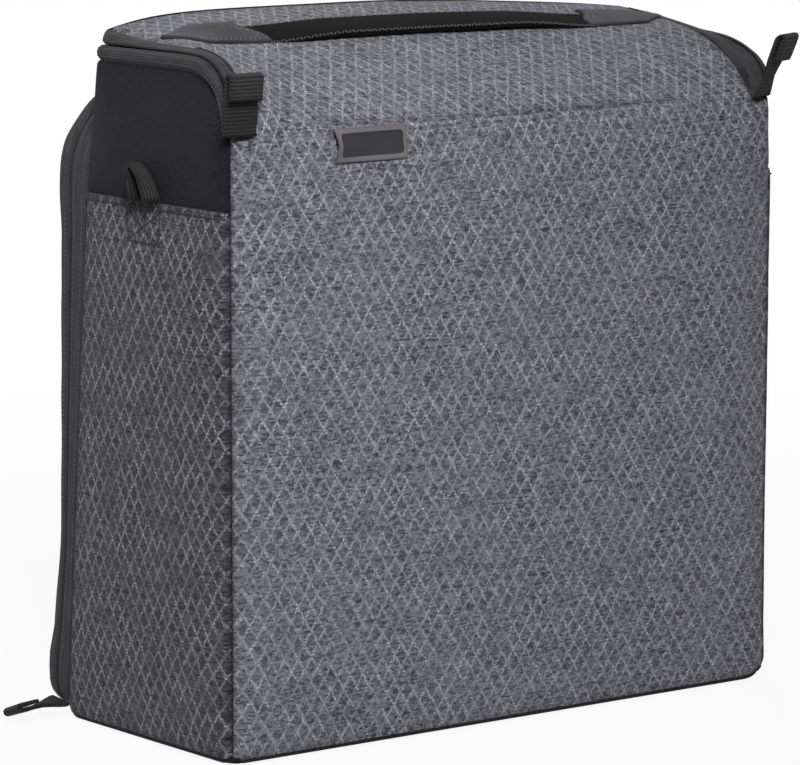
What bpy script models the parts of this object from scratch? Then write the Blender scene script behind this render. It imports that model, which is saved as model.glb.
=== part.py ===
"""Camera bag insert: a padded box with a zipped lid, a zipped back door and padded dividers.

Metres, +Z up. The origin is the centre of the bottom face. The front panel faces -Y,
and the back leans forward. The lid turns about the front seam, and the back door
turns about its bottom edge.
"""

import math

import bmesh
import bpy
from mathutils import Matrix, Vector

mm = 0.001

# Body
body_width = 290.0 * mm
base_depth = 120.0 * mm
seam_height = 257.5 * mm
hem_height = 226.0 * mm
back_lean = 0.08
wall = 8.0 * mm
corner_radius = 8.0 * mm
corner_steps = 4
round_profile = 0.5
seam_gap = 0.3 * mm
cut_overrun = 5.0 * mm
weld_distance = 0.01 * mm
sharp_edge_angle = math.radians(50.0)

# Lid
lid_side_inset = 8.5 * mm
lid_back_inset = 2.2 * mm
lid_hem_depth = 7.0 * mm
lid_hem_thickness = 3.2 * mm
lid_axis_standoff = 0.2 * mm
lid_crown_height = 301.0 * mm
lid_thickness = 4.6 * mm
lid_pad_thickness = 3.0 * mm
lid_pad_inset = 15.0 * mm
lid_pad_front_share = 0.45
lid_rows = 22
lid_columns = 26
crown_power = 6.0
surface_probe_share = 0.01
surface_search_steps = 30

# Side views of the lid rails, as (depth share, rise share) from the front seam to the back corner.
# The shares are of the lid's depth and of its rise from the seam to the crown.
lid_crown_shares = [
    (0.000, 0.000), (0.04, 0.048), (0.09, 0.109), (0.15, 0.181), (0.22, 0.266), (0.32, 0.387),
    (0.44, 0.532), (0.57, 0.678), (0.71, 0.787), (0.86, 0.869), (1.00, 0.920),
]
lid_edge_shares = [
    (0.000, 0.00), (0.000, 0.16), (0.012, 0.33), (0.055, 0.50), (0.12, 0.62),
    (0.22, 0.70), (0.36, 0.735), (0.52, 0.745), (0.69, 0.76), (0.85, 0.80), (1.00, 0.90),
]
meeting_shares = [
    (0.030, 0.00), (0.030, 0.16), (0.033, 0.33), (0.070, 0.50), (0.14, 0.62),
    (0.23, 0.685), (0.36, 0.700), (0.50, 0.700), (0.64, 0.700), (0.77, 0.700), (0.90, 0.700),
]
yoke_edge_shares = [
    (0.058, 0.00), (0.062, 0.12), (0.082, 0.27), (0.125, 0.40), (0.19, 0.49),
    (0.27, 0.538), (0.38, 0.549), (0.51, 0.549), (0.64, 0.549), (0.77, 0.549), (0.90, 0.549),
]

# Zips
tape_thickness = 0.9 * mm
tape_inset = 0.5 * mm
meeting_slit = 1.1 * mm
coil_radius = 0.8 * mm
coil_offset = 1.4 * mm
coil_clearance = 0.3 * mm
zip_corner_radius = 8.0 * mm
shoulder_inset = 2.4 * mm
tape_flat_width = 2.6 * mm
tape_flat_share = 0.45
tub_tape_trim = 0.95 * mm
lid_tape_trim = 0.75 * mm
coil_end_steps = 3
rail_side_steps = 20
rail_corner_steps = 5
rail_back_steps = 4

# Back door
arch_side_inset = 1.5 * mm
arch_low = 3.0 * mm
arch_top_drop = 4.4 * mm
arch_low_radius = 10.0 * mm
arch_high_radius = 48.0 * mm
arch_steps = 9
gusset_depth = 8.0 * mm
door_tape_depth = 5.0 * mm
door_face_thickness = 4.0 * mm
door_face_overhang = 2.4 * mm
door_face_rounding = 1.5 * mm
door_pad_inset = 7.0 * mm
door_pad_inner = 4.5 * mm
door_pad_lift = 0.6 * mm
header_drop = 7.0 * mm
header_tip_angle = math.radians(20.0)
zip_end_height = 16.0 * mm

# Sliders and pulls
slider_length = 10.0 * mm
slider_outer_width = 8.0 * mm
slider_inner_width = 4.8 * mm
slider_plate = 1.3 * mm
slider_web = 0.5 * mm
slider_coil_room = 0.5 * mm
bridge_length = 9.0 * mm
bridge_width = 2.4 * mm
bridge_bar = 1.4 * mm
tunnel_height = 2.0 * mm
pull_length = 24.0 * mm
pull_width = 7.0 * mm
pull_thickness = 1.0 * mm
pull_eye_length = 5.4 * mm
pull_eye_width = 4.4 * mm
pull_end_bar = 1.2 * mm
lid_slider_place = 14.0 * mm
door_slider_place = 14.0 * mm

# Inside
lining_thickness = 0.8 * mm
lining_top_drop = 1.0 * mm
shelf_thickness = 6.0 * mm
shelf_back_gap = 2.0 * mm
upper_shelf_height = 178.0 * mm
lower_shelf_height = 90.0 * mm
divider_thickness = 6.0 * mm
divider_flange_width = 24.0 * mm
divider_flange_thickness = 1.6 * mm
top_divider_height = 66.0 * mm
top_divider_place = -24.0 * mm
middle_divider_place = 48.0 * mm
bottom_divider_place = 26.0 * mm

# Handle
handle_centre = 0.0 * mm
handle_front = 51.0 * mm
handle_width = 22.0 * mm
handle_thickness = 2.4 * mm
handle_lift = 6.0 * mm
handle_columns = 18
handle_rows = 3
patch_length = 42.0 * mm
patch_tip_length = 17.0 * mm
patch_width = 26.0 * mm
patch_thickness = 1.6 * mm
patch_edge_margin = 4.0 * mm
patch_steps = 6

# Grab tabs
tab_width = 17.0 * mm
tab_thickness = 1.8 * mm
tab_block_thickness = 4.0 * mm
tab_strap_length = 14.0 * mm
tab_block_length = 11.0 * mm
tab_standoff = 0.4 * mm
tab_edge_rounding = 0.5 * mm
left_tab_sway = 0.15
right_tab_sway = 0.5
right_tab_turn = math.radians(25.0)
right_tab_inset = 5.5 * mm
left_tab_rise = 1.1 * mm
right_tab_rise = 2.8 * mm
back_tab_droop = math.radians(5.0)
back_tab_height = 5.5 * mm

# Side loops
loop_centre = 55.0 * mm
loop_half_span = 7.5 * mm
loop_height = 15.0 * mm
loop_width = 8.0 * mm
loop_thickness = 1.6 * mm
loop_steps = 12
loop_fullness = 0.6

# Label
label_left = 51.4 * mm
label_width = 37.5 * mm
label_height = 13.0 * mm
label_thickness = 0.9 * mm
label_bow = 1.8 * mm
label_steps = 8

# Places that follow from the sizes
front_y = -base_depth / 2
half_width = body_width / 2
lean_angle = math.atan(back_lean)
lid_bottom = seam_height + seam_gap
lid_rise = lid_crown_height - lid_bottom
lid_half_width = half_width - lid_side_inset
arch_half_width = half_width - arch_side_inset
yoke_height = lid_bottom + lid_rise * yoke_edge_shares[-1][1]
handle_half_length = (
    lid_half_width - abs(handle_centre) - seam_gap - patch_length - patch_edge_margin
)


def back_y(height):
    """The back face's place at a height: it leans forward as it rises."""
    return base_depth / 2 - back_lean * height


lid_back_height = lid_bottom + lid_rise * lid_crown_shares[-1][1]
lid_back_y = back_y(lid_back_height) - lid_back_inset
lid_depth = lid_back_y - front_y
zip_height = lid_bottom + lid_rise * meeting_shares[-1][1]


# Scene and materials

def clear_scene():
    for item in list(bpy.data.objects):
        bpy.data.objects.remove(item, do_unlink=True)


def make_collection(name):
    collection = bpy.data.collections.new(name)
    bpy.context.scene.collection.children.link(collection)
    return collection


def make_material(name, colour, roughness, metallic=0.0):
    material = bpy.data.materials.new(name)
    material.use_nodes = True
    shader = material.node_tree.nodes["Principled BSDF"]
    shader.inputs["Base Color"].default_value = (*colour, 1.0)
    shader.inputs["Roughness"].default_value = roughness
    shader.inputs["Metallic"].default_value = metallic
    material.diffuse_color = (*colour, 1.0)
    return material


clear_scene()
parts = make_collection("camera_bag_insert")
cutters = make_collection("cutters")

gray_fabric = (0.11, 0.115, 0.135)
dark_gray_fabric = (0.075, 0.08, 0.095)
softshell_black = (0.012, 0.012, 0.014)
webbing_black = (0.016, 0.015, 0.016)
tape_black = (0.018, 0.018, 0.020)
leather_charcoal = (0.045, 0.045, 0.047)
lining_gray = (0.16, 0.16, 0.17)
divider_gray = (0.13, 0.13, 0.14)
slider_metal = (0.06, 0.06, 0.065)


def finish(item, colour, roughness, metallic=0.0):
    """Give a piece its own material and put it in its collection."""
    item.data.materials.clear()
    item.data.materials.append(make_material(item.name, colour, roughness, metallic))
    for owner in list(item.users_collection):
        owner.objects.unlink(item)
    parts.objects.link(item)
    return item


def object_from(name, bm):
    """A mesh object from a bmesh, linked to the scene for now."""
    mesh = bpy.data.meshes.new(name)
    bm.to_mesh(mesh)
    bm.free()
    item = bpy.data.objects.new(name, mesh)
    bpy.context.scene.collection.objects.link(item)
    return item


def as_cutter(item):
    for owner in list(item.users_collection):
        owner.objects.unlink(item)
    cutters.objects.link(item)
    item.hide_render = True
    item.display_type = "WIRE"
    return item


def evaluated_copy(item, name):
    """A plain mesh object of an object's evaluated shape, which then goes away."""
    bpy.context.view_layer.update()
    graph = bpy.context.evaluated_depsgraph_get()
    mesh = bpy.data.meshes.new_from_object(item.evaluated_get(graph))
    bm = bmesh.new()
    bm.from_mesh(mesh)
    bmesh.ops.remove_doubles(bm, verts=bm.verts, dist=weld_distance)
    bmesh.ops.recalc_face_normals(bm, faces=bm.faces)
    bm.to_mesh(mesh)
    bm.free()
    matrix = item.matrix_world.copy()
    bpy.data.objects.remove(item, do_unlink=True)
    copy = bpy.data.objects.new(name, mesh)
    mesh.name = name
    bpy.context.scene.collection.objects.link(copy)
    copy.matrix_world = matrix
    return copy


def add_boolean(item, other, operation):
    modifier = item.modifiers.new(operation.lower(), "BOOLEAN")
    modifier.object = other
    modifier.operation = operation
    modifier.solver = "EXACT"
    return modifier


# The leaning back, and the empties of the moving pieces

def make_empty(name, location):
    empty = bpy.data.objects.new(name, None)
    empty.empty_display_size = wall
    parts.objects.link(empty)
    empty.location = location
    return empty


back_matrix = Matrix.Translation((0, base_depth / 2, 0)) @ Matrix.Rotation(lean_angle, 4, "X")


def place_of(matrix, point):
    return matrix @ Vector(point)


def along_back(height):
    """The distance up the leaning back face at a height above the base."""
    return height / math.cos(lean_angle)


arch_high = along_back(yoke_height) - arch_top_drop


# Solids from cubes, outlines, sheets and rails

def placed_cube(name, corner_at):
    """A cube primitive whose corner with signs (sx, sy, sz) goes to corner_at(sx, sy, sz)."""
    bm = bmesh.new()
    bmesh.ops.create_cube(bm, size=2)
    for vertex in bm.verts:
        signs = [1 if value > 0 else -1 for value in vertex.co]
        vertex.co = corner_at(*signs)
    bmesh.ops.recalc_face_normals(bm, faces=bm.faces)
    return object_from(name, bm)


def arc(centre, radius, start, end, steps):
    """Points on an arc, from the start angle to the end angle, both ends kept."""
    points = []
    for step in range(steps + 1):
        angle = start + (end - start) * step / steps
        points.append((centre[0] + radius * math.cos(angle), centre[1] + radius * math.sin(angle)))
    return points


# Turns that stand a flat outline up: its X and Y become Y and Z, or X and Z
side_view = Matrix(((0, 0, 1), (1, 0, 0), (0, 1, 0))).to_4x4()
front_view = Matrix(((1, 0, 0), (0, 0, -1), (0, 1, 0))).to_4x4()
plan_view = Matrix.Identity(4)


def outline_curve(name, points, holes=(), fill="BOTH"):
    curve = bpy.data.curves.new(name, "CURVE")
    curve.dimensions = "2D"
    curve.fill_mode = fill
    for loop in [points, *holes]:
        spline = curve.splines.new("POLY")
        spline.points.add(len(loop) - 1)
        spline.use_cyclic_u = True
        for point, place in zip(spline.points, loop):
            point.co = (place[0], place[1], 0, 1)
    return curve


def outline_solid(name, points, thickness, matrix, holes=(), rounding=0.0, rounding_steps=2):
    """A flat outline with a thickness, centred on its plane and placed by a matrix."""
    curve = outline_curve(name, points, holes)
    curve.extrude = thickness / 2
    item = bpy.data.objects.new(name, curve)
    bpy.context.scene.collection.objects.link(item)
    item.matrix_world = matrix
    item = evaluated_copy(item, name)
    if rounding:
        bevel = item.modifiers.new("rounding", "BEVEL")
        bevel.width = rounding
        bevel.segments = rounding_steps
        bevel.limit_method = "ANGLE"
        bevel.angle_limit = sharp_edge_angle
    return item


def hoop(name, points, depth, thickness, matrix):
    """A band that stands on a closed outline, thickened towards the inside."""
    curve = outline_curve(name, points, fill="NONE")
    curve.extrude = depth / 2
    item = bpy.data.objects.new(name, curve)
    bpy.context.scene.collection.objects.link(item)
    item.matrix_world = matrix
    item = evaluated_copy(item, name)
    solidify = item.modifiers.new("thickness", "SOLIDIFY")
    solidify.thickness = thickness
    solidify.offset = -1
    solidify.use_even_offset = True
    return item


def sheet(name, point_at, along, across, thickness, side=-1):
    """A grid of along by across faces, mapped by point_at(u, v) and then thickened."""
    bm = bmesh.new()
    bmesh.ops.create_grid(bm, x_segments=along, y_segments=across, size=1)
    for vertex in bm.verts:
        vertex.co = point_at((vertex.co.x + 1) / 2, (vertex.co.y + 1) / 2)
    item = object_from(name, bm)
    item.data.shade_smooth()
    solidify = item.modifiers.new("thickness", "SOLIDIFY")
    solidify.thickness = thickness
    solidify.offset = side
    solidify.use_even_offset = True
    return item


def trim_lid(item):
    """Square off the lid's edges at its seams, and thin its back edge down to the hem."""
    item = evaluated_copy(item, item.name)
    for vertex in item.data.vertices:
        vertex.co.x = min(max(vertex.co.x, -lid_half_width), lid_half_width)
        vertex.co.y = min(vertex.co.y, lid_back_y)
        vertex.co.z = max(vertex.co.z, lid_bottom)
        if vertex.co.y > lid_back_y - lid_hem_depth:
            vertex.co.z = max(vertex.co.z, lid_back_height - lid_hem_thickness)
    return item


def tube(name, points, radius, matrix=None):
    """A round bead along a list of points, with closed ends."""
    curve = bpy.data.curves.new(name, "CURVE")
    curve.dimensions = "3D"
    curve.bevel_depth = radius
    curve.bevel_resolution = 1
    curve.use_fill_caps = True
    spline = curve.splines.new("POLY")
    spline.points.add(len(points) - 1)
    for point, place in zip(spline.points, points):
        point.co = (*place, 1)
    item = bpy.data.objects.new(name, curve)
    bpy.context.scene.collection.objects.link(item)
    item.matrix_world = matrix or Matrix.Identity(4)
    return item


def share_at(table, position):
    """A smooth curve through a table of shares, at a position from 0 to 1."""
    last = len(table) - 1
    place = min(max(position, 0.0), 1.0) * last
    index = min(int(place), last - 1)
    blend = place - index
    before = table[max(index - 1, 0)]
    start = table[index]
    end = table[index + 1]
    after = table[min(index + 2, last)]
    values = []
    for a, b, c, d in zip(before, start, end, after):
        linear = (c - a) * blend
        square = (2 * a - 5 * b + 4 * c - d) * blend ** 2
        cube = (3 * b - a - 3 * c + d) * blend ** 3
        values.append(b + (linear + square + cube) / 2)
    return values


# Padded walls

def padded_block(name, inset, low, high, back_reach):
    """The body's outer or inner block, with the back face leaning."""
    def corner(sx, sy, sz):
        height = high if sz > 0 else low
        y = back_y(height) + back_reach if sy > 0 else front_y + inset
        return (sx * (half_width - inset), y, height)
    return placed_cube(name, corner)


def round_body_edges(item):
    """Round the two front corners and the edges round the base."""
    bm = bmesh.new()
    bm.from_mesh(item.data)
    edges = []
    for edge in bm.edges:
        a, b = edge.verts
        on_base = max(a.co.z, b.co.z) < wall
        on_front = max(a.co.y, b.co.y) < 0
        upright = abs(a.co.z - b.co.z) > wall
        if on_base or (on_front and upright):
            edges.append(edge)
    bmesh.ops.bevel(
        bm, geom=edges, offset=corner_radius, segments=corner_steps,
        profile=round_profile, affect="EDGES",
    )
    bm.to_mesh(item.data)
    bm.free()


def make_shell():
    """The padded walls in one, to be cut into panels along the seams."""
    shell = padded_block("shell", 0, 0, yoke_height + cut_overrun, 0)
    round_body_edges(shell)
    cavity = padded_block(
        "cavity", wall, wall, yoke_height + 2 * cut_overrun, 2 * cut_overrun
    )
    as_cutter(cavity)
    add_boolean(shell, cavity, "DIFFERENCE")
    shell = evaluated_copy(shell, "shell")
    return as_cutter(shell)


mitre_gap = seam_gap / math.sqrt(2)
far_back = base_depth / 2 + 2 * cut_overrun


def inward(sign):
    """How far in from the outside a region's outer or inner face lies."""
    return wall + cut_overrun if sign > 0 else -cut_overrun


def front_region():
    def corner(sx, sy, sz):
        depth = inward(sy)
        x = sx * (half_width - depth - mitre_gap)
        z = seam_height if sz > 0 else depth + mitre_gap
        return (x, front_y + depth, z)
    return placed_cube("front_region", corner)


def side_region(name, side, low=None, high=hem_height):
    def corner(sx, sy, sz):
        depth = inward(-sx * side)
        y = far_back if sy > 0 else front_y + depth + mitre_gap
        bottom = depth + mitre_gap if low is None else low
        return (side * (half_width - depth), y, high if sz > 0 else bottom)
    return placed_cube(name, corner)


def bottom_region():
    def corner(sx, sy, sz):
        depth = inward(sz)
        x = sx * (half_width - depth - mitre_gap)
        y = far_back if sy > 0 else front_y + depth + mitre_gap
        return (x, y, depth)
    return placed_cube("bottom_region", corner)


def yoke_outline():
    """Side view of the softshell yoke, whose top front corner is round."""
    points = [(front_y - cut_overrun, hem_height + seam_gap), (front_y - cut_overrun, seam_height)]
    for step in range(rail_side_steps + 1):
        points.append(rail_place(yoke_edge_shares, step / rail_side_steps))
    points.append((far_back, points[-1][1]))
    points.append((far_back, hem_height + seam_gap))
    return points


def rail_place(shares, position):
    """The (y, z) place of a lid rail, from the front seam to the back corner."""
    depth_share, rise_share = share_at(shares, position)
    return (front_y + lid_depth * depth_share, lid_bottom + lid_rise * rise_share)


def panel(name, shell, region, colour, roughness):
    """The stretch of the padded shell that lies in one region."""
    as_cutter(region)
    item = bpy.data.objects.new(name, shell.data.copy())
    bpy.context.scene.collection.objects.link(item)
    add_boolean(item, region, "INTERSECT")
    item = evaluated_copy(item, name)
    return finish(item, colour, roughness)


def make_walls():
    shell = make_shell()
    panel("front_panel", shell, front_region(), gray_fabric, 0.9)
    panel("bottom_panel", shell, bottom_region(), softshell_black, 0.9)
    outline = yoke_outline()
    for side, hand in ((-1, "left"), (1, "right")):
        region = side_region("side_region_" + hand, side)
        panel("side_panel_" + hand, shell, region, dark_gray_fabric, 0.9)
        low = hem_height + seam_gap
        region = side_region("yoke_region_" + hand, side, low, yoke_height + cut_overrun)
        profile = outline_solid(
            "yoke_profile_" + hand, outline, body_width + 4 * cut_overrun, side_view
        )
        as_cutter(profile)
        add_boolean(region, profile, "INTERSECT")
        panel("side_yoke_" + hand, shell, region, softshell_black, 0.85)


def arch_outline(inset):
    """The door's outline on the leaning back: an arch with small bottom corners."""
    half = arch_half_width - inset
    low = arch_low + inset
    high = arch_high - inset
    low_radius = max(arch_low_radius - inset, tape_thickness)
    high_radius = arch_high_radius - inset
    quarter = math.pi / 2
    points = arc((half - low_radius, low + low_radius), low_radius, -quarter, 0, arch_steps // 2)
    points += arc((half - high_radius, high - high_radius), high_radius, 0, quarter, arch_steps)
    points += [(-x, z) for x, z in reversed(points)]
    return points


def make_header():
    """The padded strip and corners above the arched back opening."""
    half = half_width - wall - seam_gap
    top = along_back(yoke_height)
    radius = arch_high_radius - header_drop
    crown = arch_high - header_drop
    centre = (half - radius, crown - radius)
    opening = arc(centre, radius, header_tip_angle, math.pi / 2, arch_steps)
    tip = opening[0][1]
    points = [(half, tip), (half, top), (-half, top), (-half, tip)]
    points += [(-x, z) for x, z in opening]
    points += list(reversed(opening))
    matrix = back_matrix @ Matrix.Translation((0, -wall / 2, 0)) @ front_view
    header = outline_solid("back_header", points, wall, matrix)
    return finish(header, softshell_black, 0.85)


# The lid and its wrapped zip

def lid_point(u, v):
    """The lid's outer face: u runs across from left to right, v from the seam to the back."""
    across = 2 * u - 1
    crown = rail_place(lid_crown_shares, v)
    edge = rail_place(lid_edge_shares, v)
    blend = 1 - abs(across) ** crown_power
    y = edge[0] + (crown[0] - edge[0]) * blend
    z = edge[1] + (crown[1] - edge[1]) * blend
    return Vector((lid_half_width * across, y, z))


def lid_surface(x, y, offset=0.0):
    """The point of the lid above (x, y), raised along the surface normal."""
    u = (x / lid_half_width + 1) / 2
    low, high = 0.0, 1.0
    for _ in range(surface_search_steps):
        middle = (low + high) / 2
        if lid_point(u, middle).y < y:
            low = middle
        else:
            high = middle
    step = surface_probe_share
    here = lid_point(u, low)
    step_u = lid_point(min(u + step, 1.0), low) - lid_point(max(u - step, 0.0), low)
    step_v = lid_point(u, min(low + step, 1.0)) - lid_point(u, max(low - step, 0.0))
    return here + step_u.cross(step_v).normalized() * offset


def make_lid():
    lid = sheet("lid_panel", lid_point, lid_columns, lid_rows, lid_thickness)
    lid = trim_lid(lid)
    finish(lid, gray_fabric, 0.9)

    share_u = lid_pad_inset / (2 * lid_half_width)
    share_v = lid_pad_inset / lid_depth

    def pad_point(u, v):
        inner_u = share_u + u * (1 - 2 * share_u)
        inner_v = lid_pad_front_share + v * (1 - share_v - lid_pad_front_share)
        x = (2 * inner_u - 1) * lid_half_width
        y = lid_point(inner_u, inner_v).y
        return lid_surface(x, y, -lid_thickness - seam_gap)

    pad = sheet("lid_lining", pad_point, lid_columns, lid_rows // 2, lid_pad_thickness)
    finish(pad, lining_gray, 0.95)


def wall_x(y):
    """How far out the side wall stands at a depth: it rounds in at the front corner."""
    centre = front_y + corner_radius
    if y >= centre:
        return half_width
    drop = min(centre - y, corner_radius)
    return half_width - corner_radius + math.sqrt(corner_radius ** 2 - drop ** 2)


def wall_rail(shares, side_inset):
    """A rail on the body's outside: up the front corner, back along the side, to the middle.

    It draws in from the wall as it rises, to the side inset at the top.
    """
    points = []
    for step in range(rail_side_steps):
        y, z = rail_place(shares, step / rail_side_steps)
        rise = (z - lid_bottom) / (lid_rise * shares[-1][1])
        inset = tape_inset + (side_inset - tape_inset) * rise
        points.append(Vector((-wall_x(y) + inset, y, z)))
    height = rail_place(shares, 1.0)[1]
    radius = zip_corner_radius
    centre = (-half_width + radius, back_y(height) - radius)
    round_corner = arc(centre, radius, math.pi, math.pi / 2, rail_corner_steps)
    for step, (x, y) in enumerate(round_corner):
        inset = side_inset + (tape_inset - side_inset) * step / rail_corner_steps
        pull = 1 - inset / radius
        points.append(Vector((centre[0] + (x - centre[0]) * pull,
                              centre[1] + (y - centre[1]) * pull, height)))
    corner = points[-1]
    for step in range(1, rail_back_steps + 1):
        points.append(Vector((corner.x * (1 - step / rail_back_steps), corner.y, height)))
    return points


def lid_rail():
    """The rail just outside the lid's own edge, with as many points as a wall rail."""
    half = lid_half_width + 2 * seam_gap
    corner_start = half_width - zip_corner_radius
    back = back_y(lid_back_height) - tape_inset
    points = []
    for step in range(rail_side_steps):
        y, z = rail_place(lid_edge_shares, meeting_shares[-1][0] * step / rail_side_steps)
        points.append(Vector((-half, y, z)))
    start = rail_place(lid_edge_shares, meeting_shares[-1][0])
    for step in range(rail_corner_steps + 1):
        turn = step / rail_corner_steps * math.pi / 2
        largest = max(math.cos(turn), math.sin(turn))
        out = math.cos(turn) / largest
        reach = math.sin(turn) / largest
        x = corner_start + (half - corner_start) * out
        y = start[0] + (back - start[0]) * reach
        z = start[1] + (lid_back_height - start[1]) * reach
        points.append(Vector((-x, y, z)))
    corner = points[-1]
    for step in range(1, rail_back_steps + 1):
        points.append(Vector((corner.x * (1 - step / rail_back_steps), corner.y, corner.z)))
    return points


def both_sides(points):
    """A left rail that ends at the middle, continued along its mirror image."""
    mirrored = [Vector((-point.x, point.y, point.z)) for point in reversed(points[:-1])]
    return points + mirrored


def fold_direction(meeting, tub_edge, lid_edge):
    """The way from the tub's tape to the lid's at the meeting line, halfway between both tapes."""
    to_lid = (lid_edge - meeting).normalized()
    to_tub = (tub_edge - meeting).normalized()
    return (to_lid - to_tub).normalized()


def tape_strip(name, meeting, tub_rail, lid_rail_points, sign):
    """One tape: flat beside the meeting line, then bent to its own rail, lid side for sign +1."""
    last = len(meeting) - 1

    def point_at(u, v):
        index = round(u * last)
        place = meeting[index]
        fold = fold_direction(place, tub_rail[index], lid_rail_points[index]) * sign
        edge = lid_rail_points[index] if sign > 0 else tub_rail[index]
        trim = lid_tape_trim if sign > 0 else tub_tape_trim
        way = (edge - place).normalized()
        width = (edge - place).length
        flat = min(tape_flat_width, width * tape_flat_share)
        outline = [edge - way * trim, place + fold * flat, place + fold * meeting_slit / 2]
        if sign > 0:
            outline.reverse()
        return outline[round(v * 2)]

    return sheet(name, point_at, last, 2, tape_thickness, side=1)


def bead_path(meeting, tub_rail, lid_rail_points, sign):
    """A coil's path beside the meeting line, on the inner face of its tape."""
    inset = tape_thickness + coil_radius + coil_clearance
    path = []
    for index, place in enumerate(meeting):
        fold = fold_direction(place, tub_rail[index], lid_rail_points[index])
        before = meeting[max(index - 1, 0)]
        after = meeting[min(index + 1, len(meeting) - 1)]
        along = (after - before).normalized()
        inner = along.cross(fold).normalized()
        path.append(place + fold * sign * coil_offset + inner * inset)
    return path[coil_end_steps:-coil_end_steps]


def make_lid_zip():
    meeting = both_sides(wall_rail(meeting_shares, shoulder_inset))
    tub_rail = both_sides(wall_rail(yoke_edge_shares, tape_inset))
    lid_edge = both_sides(lid_rail())
    for owner, sign in (("tub", -1), ("lid", 1)):
        tape = tape_strip("lid_zip_" + owner + "_tape", meeting, tub_rail, lid_edge, sign)
        finish(tape, tape_black, 0.8)
        course = bead_path(meeting, tub_rail, lid_edge, sign)
        finish(tube("lid_zip_" + owner + "_coil", course, coil_radius), tape_black, 0.5)


# The back door

def back_place(depth):
    """A plane parallel to the leaning back face, a depth behind it, for front outlines."""
    return back_matrix @ Matrix.Translation((0, depth, 0)) @ front_view


meeting_depth = gusset_depth
door_face_depth = gusset_depth + door_face_overhang


def zip_course(inset):
    """The coil's course on the arch: up one side, over the top and down the other."""
    points = [place for place in arch_outline(inset) if place[1] > zip_end_height]
    half = arch_half_width - inset
    return [(half, zip_end_height), *points, (-half, zip_end_height)]


def make_back_zip():
    half_slit = meeting_slit / 2
    gusset_span = gusset_depth - half_slit - seam_gap
    middle = seam_gap + gusset_span / 2
    gusset = hoop(
        "back_zip_gusset", arch_outline(0), gusset_span, tape_thickness, back_place(middle)
    )
    finish(gusset, tape_black, 0.85)
    door_span = door_tape_depth - half_slit
    middle = gusset_depth + half_slit + door_span / 2
    door_tape = hoop(
        "back_zip_door_tape", arch_outline(0), door_span, tape_thickness, back_place(middle)
    )
    finish(door_tape, tape_black, 0.85)
    inset = tape_thickness + coil_radius + coil_clearance
    for name, depth in (
        ("back_zip_gusset_coil", gusset_depth - coil_offset),
        ("back_zip_door_coil", gusset_depth + coil_offset),
    ):
        points = [(x, depth, z) for x, z in zip_course(inset)]
        finish(tube(name, points, coil_radius, back_matrix), tape_black, 0.5)


def make_back_door():
    face_inset = tape_thickness + seam_gap
    middle = door_face_depth + seam_gap + door_face_thickness / 2
    face = outline_solid(
        "back_door_panel", arch_outline(face_inset), door_face_thickness,
        back_place(middle + door_pad_lift), rounding=door_face_rounding,
    )
    finish(face, gray_fabric, 0.9)
    inner = door_pad_inner
    outer = door_face_depth + door_pad_lift
    pad = outline_solid(
        "back_door_lining", arch_outline(door_pad_inset), outer - inner,
        back_place((outer + inner) / 2), rounding=door_face_rounding,
    )
    finish(pad, lining_gray, 0.95)


# Sliders and pulls

def slider_outline():
    """End view of a slider that straddles both tapes: outer plate, web and inner plate."""
    outer_low = -tape_inset + seam_gap
    outer_high = outer_low + slider_plate
    coil_bottom = -tape_inset - tape_thickness - coil_clearance - 2 * coil_radius
    inner_high = coil_bottom - slider_coil_room
    inner_low = inner_high - slider_plate
    wide = slider_outer_width / 2
    narrow = slider_inner_width / 2
    web = slider_web / 2
    half = [
        (outer_high, wide), (outer_low, wide), (outer_low, web),
        (inner_high, web), (inner_high, narrow), (inner_low, narrow),
    ]
    return half + [(y, -z) for y, z in reversed(half)]


slider_top = seam_gap - tape_inset + slider_plate
tunnel_centre = slider_top + tunnel_height / 2


def bridge_outline():
    """Plan view of the bridge over the pull's end bar."""
    reach = bridge_length / 2
    leg = bridge_bar
    top = slider_top + tunnel_height + bridge_bar
    sunk = slider_top - slider_plate / 2
    corner = bridge_bar / 2
    right = [
        (reach, sunk), (reach, top - corner), (reach - corner, top),
    ]
    left = [(-x, y) for x, y in reversed(right)]
    inner = [
        (leg - reach, sunk), (leg - reach, slider_top + tunnel_height),
        (reach - leg, slider_top + tunnel_height), (reach - leg, sunk),
    ]
    return right + left + inner


def make_slider(name, matrix):
    body = outline_solid(name, slider_outline(), slider_length, matrix @ side_view)
    bridge = outline_solid(name + "_bridge", bridge_outline(), bridge_width, matrix @ plan_view)
    as_cutter(bridge)
    add_boolean(body, bridge, "UNION")
    body = evaluated_copy(body, name)
    return finish(body, slider_metal, 0.4, 0.8)


def pull_outline(direction):
    """Front view of a pull that starts round its end bar and runs along X."""
    half = pull_width / 2
    start = -pull_end_bar / 2
    end = pull_length
    corner = pull_width / 4
    points = [
        (start, -half), (end - corner, -half), (end, corner - half),
        (end, half - corner), (end - corner, half), (start, half),
    ]
    eye_half = pull_eye_width / 2
    eye_start = pull_end_bar / 2
    eye = [
        (eye_start, -eye_half), (eye_start + pull_eye_length, -eye_half),
        (eye_start + pull_eye_length, eye_half), (eye_start, eye_half),
    ]
    flip = [(direction * x, z) for x, z in points]
    flip_eye = [(direction * x, z) for x, z in eye]
    return flip, flip_eye


def make_pull(name, matrix, direction):
    points, eye = pull_outline(direction)
    place = matrix @ Matrix.Translation((0, tunnel_centre, 0)) @ front_view
    pull = outline_solid(name, points, pull_thickness, place, holes=[eye])
    return finish(pull, webbing_black, 0.6)


pull_pivots = {}


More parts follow.
